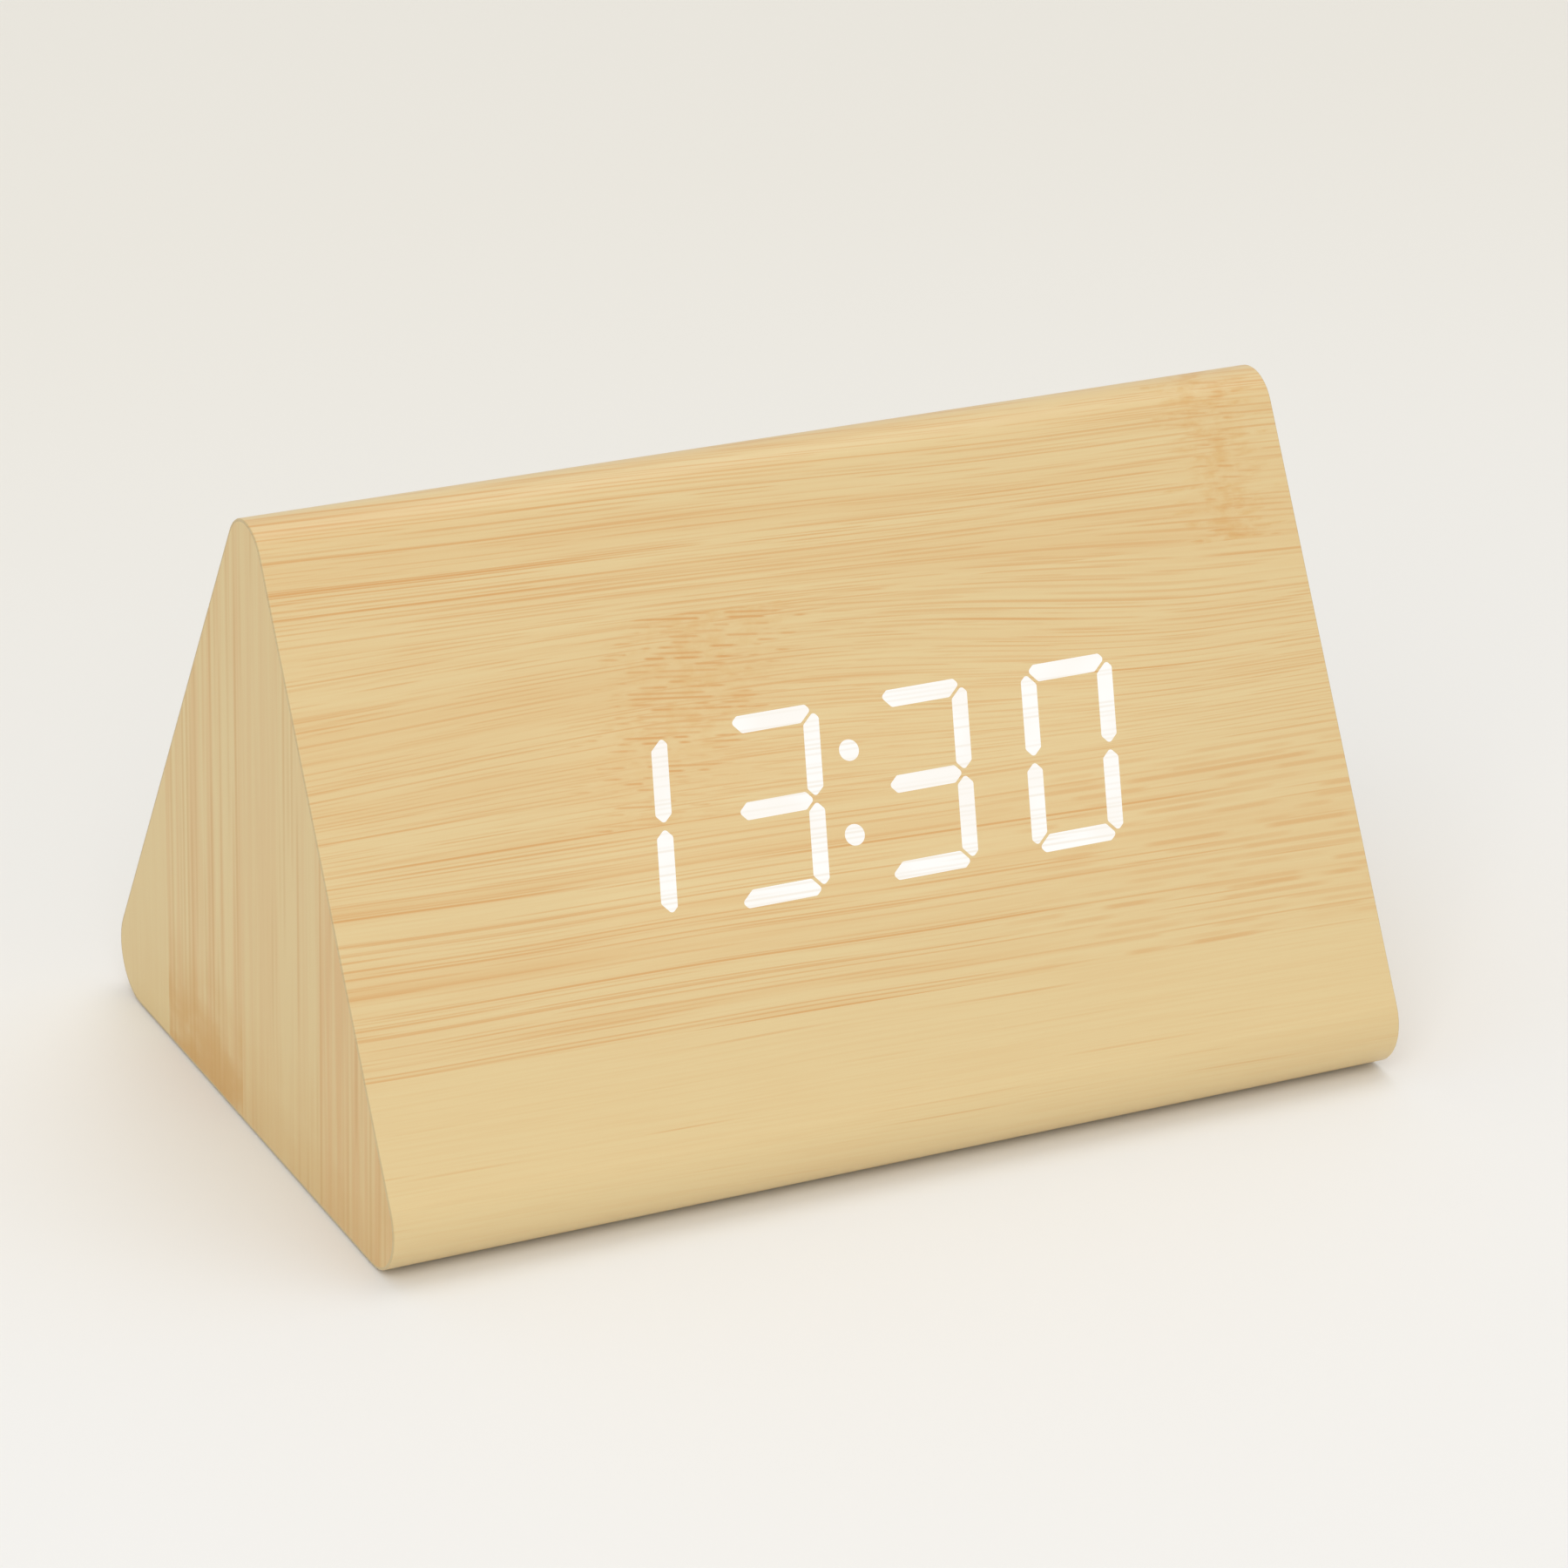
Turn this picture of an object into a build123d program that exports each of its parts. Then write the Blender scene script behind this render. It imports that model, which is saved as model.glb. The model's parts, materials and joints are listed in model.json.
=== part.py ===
from build123d import *
import os
from math import atan2, cos, radians, sin, sqrt, tan

# A triangular wooden desk clock whose lit digits shine through its front.
# Millimetres. X runs along the clock to the reader's right, Y away from the reader, Z up.
# The origin lies under the middle of the clock, on the surface that it stands on.

# Case
LENGTH = 150.0
BASE_SPAN = 107.5  # width of the triangle between its sharp base corners
RISE = 93.7  # height of the triangle up to its sharp ridge
BASE_RADIUS = 7.0
RIDGE_RADIUS = 6.1
FILM = 0.4  # thickness of the wood-look film
FILM_EASE = 0.2  # rounding of the film's edge at both ends
BOARD = 6.0  # thickness of the front, rear and base boards
END_BOARD = 5.0

# Foot pads
PAD_RADIUS = 4.5
PAD_PROUD = 0.3  # how far the pads reach below the film
PAD_FIT = 0.1
PAD_FROM_END = 17.0
PAD_FROM_CORNER = 20.0  # from the sharp base corner

# Digits, seen from the front
SHOWN = "13:30"
DIGIT_SPACING = 22.25
DIGIT_WIDTH = 11.67  # between the middles of the left and right strokes
ROW_HEIGHT = 11.42  # between the middles of level strokes
STROKE = 2.35  # width of a stroke
STROKE_GAP = 0.45  # between the slanted ends of neighbouring strokes
STROKE_TIP = 0.35  # how far a corner's tip lies towards the outside of the digit
STROKE_EASE = 0.5  # rounding of a stroke's corners
SLANT = 8.33  # lean of the digits in degrees
COLON_RADIUS = 1.45
COLON_RISE = 5.6  # dots above and below the middle
DIGITS_LIFT = 0.3  # middle of the digits above the middle of the front
DIGITS_SHIFT = 0.3  # middle of the digits to the right of the clock's middle

# Display module
FRAME_MARGIN = 4.0  # digit frame beyond the digits
FRAME_FIT = 0.15
GUIDE = 4.0  # thickness of the light guides
GUIDE_FIT = 0.05
LAMP_LENGTH = 1.6
LAMP_WIDTH = 0.8
LAMP = 0.6
LAMP_SPACING = 4.8  # between the two lamps of a stroke
DISPLAY_LAP = 6.0  # display board beyond the digit frame
DRIVER_LENGTH = 13.0
DRIVER_X = 18.0
DRIVER_Y = -9.0

# Battery bay
CELLS = 4
CELL_RADIUS = 5.25
CELL_LENGTH = 44.5
CELL_EASE = 0.6
NUB = 0.8
NUB_RADIUS = 1.9
CELL_PLAY = 0.3
CONTACT_ROOM = 2.6  # between a cell's end and the tray's end wall
CONTACT_SHEET = 0.4
CONTACT_WIDTH = 7.0
CONTACT_HEIGHT = 7.0
DIMPLE_RADIUS = 1.6
SPRING_FOOT = 3.2
SPRING_TOP = 2.0
TAB_WIDTH = 2.4
TAB = 1.2
TAB_REACH = 1.0  # solder tab beyond the tray's wall
TAB_FIT = 0.1
TRAY_WALL = 2.0
TRAY_FLOOR = 1.5
RIB = 1.0  # width and height of the ribs between the cells

# Rear panel
PANEL = 2.4  # thickness
PANEL_PROUD = 0.3  # beyond the film
PANEL_RADIUS = 4.0
PANEL_EASE = 0.4
PANEL_FIT = 0.15
PANEL_LIFT = -3.0  # middle of the panel above the middle of the rear
LEDGE = 5.6  # width of the board's ledge that carries the panel
SIDE_GAP = 0.6  # contents to the edge of the board's opening
MIDDLE_GAP = 4.0  # battery tray to main board
GRILLE_HOLE = 0.6
GRILLE_RING = 3.0
GRILLE_HOLES = 6
VOICE_HOLE = 0.6

# Battery door, which swings about its lower edge
DOOR_LAP = 1.0  # door opening beyond the bay
DOOR_GAP = 0.3  # round the door
DOOR_SEAT = 0.15  # under the door
DOOR_RADIUS = 2.0
PIVOT_RADIUS = 0.6
PIVOT_REACH = 1.5
PIVOT_FIT = 0.08
PIVOT_PLAY = 0.3
TONGUE_WIDTH = 12.0
TONGUE_LENGTH = 8.0
TONGUE_SLOT = 0.8
BUMP_RADIUS = 0.45
BUMP_PROUD = 0.15
BUMP_LENGTH = 8.0
GRIP_BARS = 3
GRIP_LENGTH = 8.0
GRIP_WIDTH = 0.7
GRIP_PITCH = 1.6
GRIP_PROUD = 0.3
SCOOP_RADIUS = 6.0
SCOOP_REACH = 3.6  # finger scoop beyond the door's upper edge
SCOOP = 1.2  # depth of the finger scoop

# Main board
MAIN_WIDTH = 46.0
CIRCUIT = 1.6  # thickness of both circuit boards
STANDOFF = 7.0  # panel to main board
BOSS_RADIUS = 2.5
BOSS_INSET = 3.5  # from the board's edges
CHIP_WIDTH = 7.5
CHIP = 2.3
CHIP_LENGTH = 18.0
LEG_PITCH = 1.27
LEG_WIDTH = 0.45
LEG_REACH = 1.4
LEG = 0.3
CHIP_Y = -1.0
CRYSTAL_RADIUS = 1.0
CRYSTAL_LENGTH = 6.0
CAPACITOR_RADIUS = 3.15
CAPACITOR = 8.0
LOWER_ROW = -14.0
COIN_RADIUS = 6.25
COIN = 2.0
COIN_FIT = 0.15
COIN_X = 0.0
HOLDER_WIDTH = 15.5
HOLDER = 3.4
HOLDER_FLOOR = 1.0
BUZZER_RADIUS = 6.0
BUZZER = 6.0
BUZZER_HOLE = 1.2
CONTROLS_ROW = -11.0
VOICE_RADIUS = 3.0
VOICE = 2.7
SENSOR_RADIUS = 1.1
SENSOR = 2.4
SENSOR_Y = -20.0

# Places along the main board from its middle, as shares of its width
CRYSTAL_SHARE = 0.30
CAPACITOR_SHARE = 0.33
BUZZER_SHARE = -0.24
VOICE_SHARE = 0.03
SENSOR_SHARE = 0.04
JACK_SHARE = 0.28
BUTTON_SHARE = 0.30  # from one button to the next

# Buttons and their switches
BUTTON_NAMES = ("set", "up", "down")
BUTTON_Y = 9.0
BUTTON_RADIUS = 4.2
BUTTON_PROUD = 1.4
BUTTON_GAP = 0.25
BUTTON_EASE = 0.5
BUTTON_TRAVEL = 0.6
COLLAR_RADIUS = 5.2
COLLAR = 1.0
COLLAR_GAP = 0.1
STUB_RADIUS = 2.5
MARK_LENGTH = 3.6
MARK_WIDTH = 0.7
MARK_PROUD = 0.2
SWITCH_SIDE = 6.0
SWITCH = 3.5
PLUNGER_RADIUS = 1.7
PLUNGER_PROUD = 1.5
PLUNGER_DEPTH = 1.5
PLUNGER_FIT = 0.1
PLUNGER_PLAY = 0.3

# Power inlet
JACK_RADIUS = 3.9
JACK_GAP = 0.1
JACK_SUNK = 0.2
JACK_BORE = 1.85
JACK_DEPTH = 8.0
JACK_SIDE = 9.5
JACK_FOOT = 4.0
JACK_PIN_RADIUS = 0.65
JACK_PIN_SUNK = 1.2

# Screws
PANEL_SCREW_RADIUS = 1.1
PANEL_SCREW_HEAD_RADIUS = 2.2
PANEL_SCREW_HEAD = 1.2
SMALL_SCREW_RADIUS = 1.0
SMALL_SCREW_HEAD_RADIUS = 1.9
SMALL_SCREW_HEAD = 1.3
SMALL_SCREW_BITE = 4.0  # thread inside a boss
SCREW_FIT = 0.05
SCREW_COVER = 1.2  # board left beyond a screw's tip
CROSS_WIDTH = 0.5
CROSS = 0.7
CROSS_SHARE = 1.3  # span of the cross slot over the head's radius

# Wires
RIBBON_WIDTH = 14.0
RIBBON = 0.8
RIBBON_LENGTH = 46.0  # from socket to socket
RIBBON_LEAD = 3.0  # straight length at each socket
RIBBON_BEND = 2.5
RIBBON_Y = 8.0  # up the slope from the middle of both faces
SOCKET_WALL = 1.5
SOCKET_HEIGHT = 5.0
SOCKET = 5.0
LEAD_RADIUS = 0.6
LEAD_BEND = 2.0
LEAD_RUN = 4.5
LEAD_DROP = 5.0

# Outline of the case, worked out from the values above
LEAN = atan2(RISE, BASE_SPAN / 2)
INNER_HALF = LENGTH / 2 - FILM - END_BOARD
BOARD_INNER = -FILM - BOARD

# The front and rear faces have frames of their own: x along the face, y up the slope, z outwards
FRONT_UP = Vector(0, cos(LEAN), sin(LEAN))
FRONT_OUT = Vector(0, -sin(LEAN), cos(LEAN))
REAR_UP = Vector(0, -cos(LEAN), sin(LEAN))
REAR_OUT = Vector(0, sin(LEAN), cos(LEAN))
FRONT_MIDDLE = Vector(0, -BASE_SPAN / 4, PAD_PROUD + RISE / 2)
REAR_MIDDLE = Vector(0, BASE_SPAN / 4, PAD_PROUD + RISE / 2)
DIGITS_PLACE = FRONT_MIDDLE + FRONT_UP * DIGITS_LIFT + Vector(DIGITS_SHIFT, 0, 0)
ON_FRONT = Plane(origin=DIGITS_PLACE, x_dir=(1, 0, 0), z_dir=FRONT_OUT)
ON_REAR = Plane(origin=REAR_MIDDLE + REAR_UP * PANEL_LIFT, x_dir=(-1, 0, 0), z_dir=REAR_OUT)

# Display, on the front face's frame
DIGITS = SHOWN.replace(":", "")
SHEAR = tan(radians(SLANT))
DIGITS_HALF_HEIGHT = ROW_HEIGHT + STROKE / 2
DIGITS_WIDTH = (len(DIGITS) - 1) * DIGIT_SPACING + DIGIT_WIDTH + STROKE + 2 * DIGITS_HALF_HEIGHT * SHEAR
FRAME_WIDTH = DIGITS_WIDTH + 2 * FRAME_MARGIN
FRAME_HEIGHT = 2 * DIGITS_HALF_HEIGHT + 2 * FRAME_MARGIN
DISPLAY_WIDTH = FRAME_WIDTH + 2 * DISPLAY_LAP
DISPLAY_HEIGHT = FRAME_HEIGHT + 2 * DISPLAY_LAP
DISPLAY_INNER = BOARD_INNER - CIRCUIT
DISPLAY_SCREW_X = (FRAME_WIDTH + DISPLAY_LAP) / 2
DISPLAY_SCREW_Y = (FRAME_HEIGHT + DISPLAY_LAP) / 2

# Rear panel and what it carries, on the rear face's frame
PANEL_OUTER = PANEL_PROUD
PANEL_INNER = PANEL_PROUD - PANEL
CELL_PITCH = 2 * CELL_RADIUS + CELL_PLAY
BAY_LENGTH = CELL_LENGTH + 2 * CONTACT_ROOM
BAY_HEIGHT = CELLS * CELL_PITCH + CELL_PLAY
BAY_FLOOR = PANEL_INNER - 2 * CELL_RADIUS - 2 * CELL_PLAY
CELL_LEVEL = PANEL_INNER - CELL_PLAY - CELL_RADIUS
TRAY_LENGTH = BAY_LENGTH + 2 * TRAY_WALL
TRAY_HEIGHT = BAY_HEIGHT + 2 * TRAY_WALL
OPENING_WIDTH = TRAY_LENGTH + MAIN_WIDTH + MIDDLE_GAP + 2 * SIDE_GAP
OPENING_HEIGHT = TRAY_HEIGHT + 2 * SIDE_GAP
PANEL_WIDTH = OPENING_WIDTH + 2 * LEDGE
PANEL_HEIGHT = OPENING_HEIGHT + 2 * LEDGE
BAY_X = -OPENING_WIDTH / 2 + SIDE_GAP + TRAY_LENGTH / 2
MAIN_X = OPENING_WIDTH / 2 - SIDE_GAP - MAIN_WIDTH / 2
MAIN_HEIGHT = TRAY_HEIGHT
MAIN_OUTER = PANEL_INNER - STANDOFF
MAIN_INNER = MAIN_OUTER - CIRCUIT
BOSS_X = MAIN_WIDTH / 2 - BOSS_INSET
CRYSTAL_X = CRYSTAL_SHARE * MAIN_WIDTH
CAPACITOR_X = CAPACITOR_SHARE * MAIN_WIDTH
BUZZER_X = BUZZER_SHARE * MAIN_WIDTH
VOICE_X = VOICE_SHARE * MAIN_WIDTH
SENSOR_X = SENSOR_SHARE * MAIN_WIDTH
JACK_X = JACK_SHARE * MAIN_WIDTH
BUTTON_PITCH = BUTTON_SHARE * MAIN_WIDTH
BOSS_Y = MAIN_HEIGHT / 2 - BOSS_INSET
PANEL_SCREW_X = (OPENING_WIDTH + LEDGE) / 2
PANEL_SCREW_Y = (OPENING_HEIGHT + LEDGE) / 2
PANEL_SCREW_LENGTH = PANEL_OUTER - BOARD_INNER - SCREW_COVER
DOOR = PANEL - DOOR_SEAT
DOOR_WIDTH = BAY_LENGTH + 2 * DOOR_LAP - 2 * DOOR_GAP
DOOR_HEIGHT = BAY_HEIGHT + 2 * DOOR_LAP - 2 * DOOR_GAP
PIVOT_Y = -DOOR_HEIGHT / 2 + DOOR / 2
PIVOT_LEVEL = PANEL_OUTER - DOOR / 2
SWITCH_TOP = MAIN_OUTER + SWITCH
PLUNGER_TOP = SWITCH_TOP + PLUNGER_PROUD
COLLAR_TOP = PANEL_INNER - COLLAR_GAP
COLLAR_LOW = COLLAR_TOP - COLLAR
JACK_TOP = PANEL_OUTER - JACK_SUNK
JACK_FLOOR = JACK_TOP - JACK_DEPTH
TAB_LEVEL = BAY_FLOOR + TAB

# Strokes of a digit: column, row, turn from level in degrees, and which ends are corner tips
STROKES = {
    "a": (0.0, 1.0, 0, (1, 1)),
    "b": (0.5, 0.5, -90, (1, 0)),
    "c": (0.5, -0.5, -90, (0, 1)),
    "d": (0.0, -1.0, 180, (1, 1)),
    "e": (-0.5, -0.5, 90, (1, 0)),
    "f": (-0.5, 0.5, 90, (0, 1)),
    "g": (0.0, 0.0, 0, (0, 0)),
}
LIT_STROKES = {
    "0": "abcdef",
    "1": "bc",
    "2": "abdeg",
    "3": "abcdg",
    "4": "bcfg",
    "5": "acdfg",
    "6": "acdefg",
    "7": "abc",
    "8": "abcdefg",
    "9": "abcdfg",
}


# Plain solids

def block(width, height, low, high, x=0.0, y=0.0):
    """Box centred on x, y that reaches from level low to level high."""
    return Pos(x, y, (low + high) / 2) * Box(width, height, high - low)


def rod(radius, low, high, x=0.0, y=0.0):
    """Cylinder centred on x, y that stands from level low to level high."""
    return Pos(x, y, (low + high) / 2) * Cylinder(radius, high - low)


def plate(width, height, radius, low, high, x=0.0, y=0.0):
    """Rounded plate centred on x, y that reaches from level low to level high."""
    return Pos(x, y, low) * extrude(RectangleRounded(width, height, radius), high - low)


def lying_rod(radius, length, x, y, z):
    """Cylinder along x about its middle point."""
    return Pos(x, y, z) * Rot(0, 90, 0) * Cylinder(radius, length)


def at_corners(x, y, middle=0.0):
    """Four places, mirrored about a middle on the x axis."""
    return [(middle + i * x, j * y) for i in (-1, 1) for j in (-1, 1)]


def pan_screw(radius, length):
    """Screw whose round head stands on level 0, with a cross slot."""
    head = rod(SMALL_SCREW_HEAD_RADIUS, 0, SMALL_SCREW_HEAD)
    head = fillet(head.edges().group_by(Axis.Z)[-1], SMALL_SCREW_HEAD / 2)
    head -= cross_slot(SMALL_SCREW_HEAD_RADIUS, SMALL_SCREW_HEAD)
    return head + rod(radius, -length, 0)


def cross_slot(head_radius, top):
    """Cross slot cut into a screw's head from level top."""
    span = CROSS_SHARE * head_radius
    return block(span, CROSS_WIDTH, top - CROSS, top) + block(CROSS_WIDTH, span, top - CROSS, top)


def countersunk_head(grow=0.0):
    """Cone of a panel screw's head under level 0, grown all round."""
    depth = PANEL_SCREW_HEAD
    cone = Cone(PANEL_SCREW_RADIUS + grow, PANEL_SCREW_HEAD_RADIUS + grow, depth)
    return Pos(0, 0, -depth / 2) * cone


# Case

def corners(inset):
    """Front, rear and ridge corners (y, z) of the triangle, moved in by inset."""
    half = BASE_SPAN / 2 - inset / tan(LEAN / 2)
    low = PAD_PROUD + inset
    top = PAD_PROUD + RISE - inset / cos(LEAN)
    return (-half, low), (half, low), (0.0, top)


def rounded_triangle(inset):
    """Section of the case, moved in by inset."""
    face = make_face(Polyline(*corners(inset), close=True))
    face = fillet(face.vertices().sort_by(Axis.Y)[-1:], RIDGE_RADIUS - inset)
    return fillet(face.vertices().sort_by(Axis.Y)[:2], BASE_RADIUS - inset)


def along_x(face, start, end):
    """Solid with a (y, z) section from x start to x end."""
    return Plane.YZ.offset(start) * extrude(face, end - start)


def case_board(first, second):
    """One mitred board between two corners of the triangle."""
    outer = corners(FILM)
    inner = corners(FILM + BOARD)
    sides = make_face(Polyline(outer[first], outer[second], inner[second], inner[first], close=True))
    return along_x(sides & rounded_triangle(FILM), -INNER_HALF, INNER_HALF)


def front_board():
    board = case_board(0, 2)
    window = block(FRAME_WIDTH + 2 * FRAME_FIT, FRAME_HEIGHT + 2 * FRAME_FIT, BOARD_INNER - 1, 1)
    board -= ON_FRONT * window
    for x, y in at_corners(DISPLAY_SCREW_X, DISPLAY_SCREW_Y):
        board -= ON_FRONT * rod(SMALL_SCREW_RADIUS + SCREW_FIT, BOARD_INNER, -FILM - SCREW_COVER, x, y)
    return board


def rear_board():
    board = case_board(1, 2)
    board -= ON_REAR * panel_cutter(PANEL_INNER, 1)
    board -= ON_REAR * block(OPENING_WIDTH, OPENING_HEIGHT, BOARD_INNER - 1, 1)
    for x, y in at_corners(PANEL_SCREW_X, PANEL_SCREW_Y):
        tip = PANEL_OUTER - PANEL_SCREW_LENGTH
        board -= ON_REAR * rod(PANEL_SCREW_RADIUS + SCREW_FIT, tip, PANEL_INNER, x, y)
    return board


def panel_cutter(low, high):
    """Recess for the rear panel with its clearance all round."""
    width = PANEL_WIDTH + 2 * PANEL_FIT
    height = PANEL_HEIGHT + 2 * PANEL_FIT
    return plate(width, height, PANEL_RADIUS + PANEL_FIT, low, high)


def end_board(side):
    near = LENGTH / 2 - FILM - END_BOARD
    far = LENGTH / 2 - FILM
    return along_x(rounded_triangle(FILM), min(side * near, side * far), max(side * near, side * far))


def end_film(side):
    near = LENGTH / 2 - FILM
    far = LENGTH / 2
    return along_x(rounded_triangle(FILM), min(side * near, side * far), max(side * near, side * far))


def wrap_film():
    """Film round the whole triangle, open over the lit strokes, the rear panel and the pads."""
    sleeve = along_x(rounded_triangle(0.0), -LENGTH / 2, LENGTH / 2)
    end_faces = sleeve.faces().filter_by(Axis.X)
    sleeve = fillet(end_faces.edges(), FILM_EASE)
    sleeve -= along_x(rounded_triangle(FILM), -LENGTH / 2, LENGTH / 2)
    sleeve -= ON_REAR * panel_cutter(-2 * FILM, 1)
    for x, y in pad_places():
        sleeve -= rod(PAD_RADIUS + PAD_FIT, 0, PAD_PROUD + FILM, x, y)
    return sleeve - lit_solids()


def pad_places():
    return at_corners(LENGTH / 2 - PAD_FROM_END, BASE_SPAN / 2 - PAD_FROM_CORNER)


def foot_pads():
    return Compound([rod(PAD_RADIUS, 0, PAD_PROUD + FILM, x, y) for x, y in pad_places()])


# Display

def stroke_outline(name, grow):
    """Outline of one stroke about the digit's middle, upright, grown all round."""
    column, row, turn, tips = STROKES[name]
    half = STROKE / 2 + grow
    span = DIGIT_WIDTH if turn in (0, 180) else ROW_HEIGHT
    inset = (STROKE_GAP - 2 * grow) / sqrt(2)
    start, end = (STROKE_TIP * tip for tip in tips)
    left = -span / 2 + inset - start
    right = span / 2 - inset + end
    points = [
        (left, start),
        (left + half - start, half),
        (right - half + end, half),
        (right, end),
        (right - half - end, -half),
        (left + half + start, -half),
    ]
    place = Vector(column * DIGIT_WIDTH, row * ROW_HEIGHT)
    return [place + Vector(x, y).rotate(Axis.Z, turn) for x, y in points]


def slanted(points, middle):
    """Points of a digit, leaned over and moved to its middle."""
    return [(middle + point.X + SHEAR * point.Y, point.Y) for point in points]


def stroke(name, middle, low, high, grow=0.0):
    """One stroke of a digit between two levels."""
    outline = make_face(Polyline(*slanted(stroke_outline(name, grow), middle), close=True))
    outline = fillet(outline.vertices(), STROKE_EASE)
    return Pos(0, 0, low) * extrude(outline, high - low)


def digit_middles():
    first = -(len(DIGITS) - 1) / 2 * DIGIT_SPACING
    return [first + place * DIGIT_SPACING for place in range(len(DIGITS))]


def colon_places():
    return [(side * COLON_RISE * SHEAR, side * COLON_RISE) for side in (-1, 1)]


def lit_solids():
    """Spots of the film that glow: the lit strokes and the two dots."""
    solids = []
    for digit, middle in zip(DIGITS, digit_middles()):
        solids += [ON_FRONT * stroke(name, middle, -FILM, 0) for name in LIT_STROKES[digit]]
    solids += [ON_FRONT * rod(COLON_RADIUS, -FILM, 0, x, y) for x, y in colon_places()]
    return solids


def all_strokes(low, high, grow=0.0):
    """Every stroke and both dots, lit or not, between two levels."""
    solids = [stroke(name, middle, low, high, grow) for middle in digit_middles() for name in STROKES]
    solids += [rod(COLON_RADIUS + grow, low, high, x, y) for x, y in colon_places()]
    return solids


def digit_frame():
    """Frame that fills the front board's window, with a shaft behind every stroke."""
    body = block(FRAME_WIDTH, FRAME_HEIGHT, BOARD_INNER, -FILM)
    return ON_FRONT * (body - all_strokes(BOARD_INNER, -FILM, GUIDE_FIT))


def light_guides():
    return Compound([ON_FRONT * solid for solid in all_strokes(-FILM - GUIDE, -FILM)])


def lamps():
    """Two lamp chips behind each stroke and one behind each dot."""
    places = list(colon_places())
    for middle in digit_middles():
        for column, row, turn, _ in STROKES.values():
            for side in (-0.5, 0.5):
                step = Vector(side * LAMP_SPACING, 0).rotate(Axis.Z, turn)
                point = Vector(column * DIGIT_WIDTH, row * ROW_HEIGHT) + step
                places += slanted([point], middle)
    top = BOARD_INNER + LAMP
    return Compound([ON_FRONT * block(LAMP_LENGTH, LAMP_WIDTH, BOARD_INNER, top, x, y) for x, y in places])


def display_board():
    board = block(DISPLAY_WIDTH, DISPLAY_HEIGHT, DISPLAY_INNER, BOARD_INNER)
    for x, y in at_corners(DISPLAY_SCREW_X, DISPLAY_SCREW_Y):
        board -= rod(SMALL_SCREW_RADIUS + SCREW_FIT, DISPLAY_INNER, BOARD_INNER, x, y)
    return ON_FRONT * board


def display_screws():
    length = CIRCUIT + BOARD - SCREW_COVER
    screw = Rot(180, 0, 0) * pan_screw(SMALL_SCREW_RADIUS, length)
    places = at_corners(DISPLAY_SCREW_X, DISPLAY_SCREW_Y)
    return Compound([ON_FRONT * (Pos(x, y, DISPLAY_INNER) * screw) for x, y in places])


def chip(length, level):
    """Flat chip with a row of legs on both sides, hanging below a board's level."""
    count = int((length - LEG_PITCH) / LEG_PITCH) + 1
    legs = []
    for leg in range(count):
        x = (leg - (count - 1) / 2) * LEG_PITCH
        legs.append(block(LEG_WIDTH, CHIP_WIDTH + 2 * LEG_REACH, level - LEG, level, x))
        legs.append(block(LEG_WIDTH, CHIP_WIDTH + LEG_REACH, level - CHIP / 2, level - LEG, x))
    return block(length, CHIP_WIDTH, level - CHIP, level - LEG) + legs


def driver_chip():
    return ON_FRONT * (Pos(DRIVER_X, DRIVER_Y, 0) * chip(DRIVER_LENGTH, DISPLAY_INNER))


# Rear panel and battery bay

def rear_panel():
    panel = plate(PANEL_WIDTH, PANEL_HEIGHT, PANEL_RADIUS, PANEL_INNER, PANEL_OUTER)
    panel = fillet(panel.edges().group_by(Axis.Z)[-1], PANEL_EASE)
    low_edge = -DOOR_HEIGHT / 2 - DOOR_GAP
    panel -= Pos(BAY_X, 0, 0) * door_slab(low_edge, PANEL_INNER, PANEL_OUTER, DOOR_GAP)
    panel -= finger_scoop()
    panel -= lying_rod(PIVOT_RADIUS + PIVOT_FIT, pivot_span() + 2 * PIVOT_PLAY, BAY_X, PIVOT_Y, PIVOT_LEVEL)
    for x, y in at_corners(BOSS_X, BOSS_Y, MAIN_X):
        panel += rod(BOSS_RADIUS, MAIN_OUTER, PANEL_INNER, x, y)
        panel -= rod(SMALL_SCREW_RADIUS + SCREW_FIT, MAIN_OUTER, MAIN_OUTER + SMALL_SCREW_BITE, x, y)
    for x, y in at_corners(PANEL_SCREW_X, PANEL_SCREW_Y):
        panel -= rod(PANEL_SCREW_RADIUS + SCREW_FIT, PANEL_INNER, PANEL_OUTER, x, y)
        panel -= Pos(x, y, PANEL_OUTER) * countersunk_head(SCREW_FIT)
    for x, y in button_places():
        panel -= rod(BUTTON_RADIUS + BUTTON_GAP, PANEL_INNER, PANEL_OUTER, x, y)
    panel -= rod(JACK_RADIUS + JACK_GAP, PANEL_INNER, PANEL_OUTER, MAIN_X + JACK_X, CONTROLS_ROW)
    panel -= rod(VOICE_HOLE, PANEL_INNER, PANEL_OUTER, MAIN_X + VOICE_X, CONTROLS_ROW)
    for place in [Vector(0, 0)] + [Vector(GRILLE_RING, 0).rotate(Axis.Z, turn) for turn in grille_turns()]:
        x = MAIN_X + BUZZER_X + place.X
        panel -= rod(GRILLE_HOLE, PANEL_INNER, PANEL_OUTER, x, CONTROLS_ROW + place.Y)
    return ON_REAR * panel


def grille_turns():
    return [360 * hole / GRILLE_HOLES for hole in range(GRILLE_HOLES)]


def finger_scoop():
    """Hollow above the door's tongue where a fingertip goes in."""
    middle = DOOR_HEIGHT / 2 + DOOR_GAP + SCOOP_REACH - SCOOP_RADIUS
    return rod(SCOOP_RADIUS, PANEL_OUTER - SCOOP, PANEL_OUTER, BAY_X, middle)


def pivot_span():
    """Length of the door's pivot from tip to tip."""
    return DOOR_WIDTH + 2 * PIVOT_REACH


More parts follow.
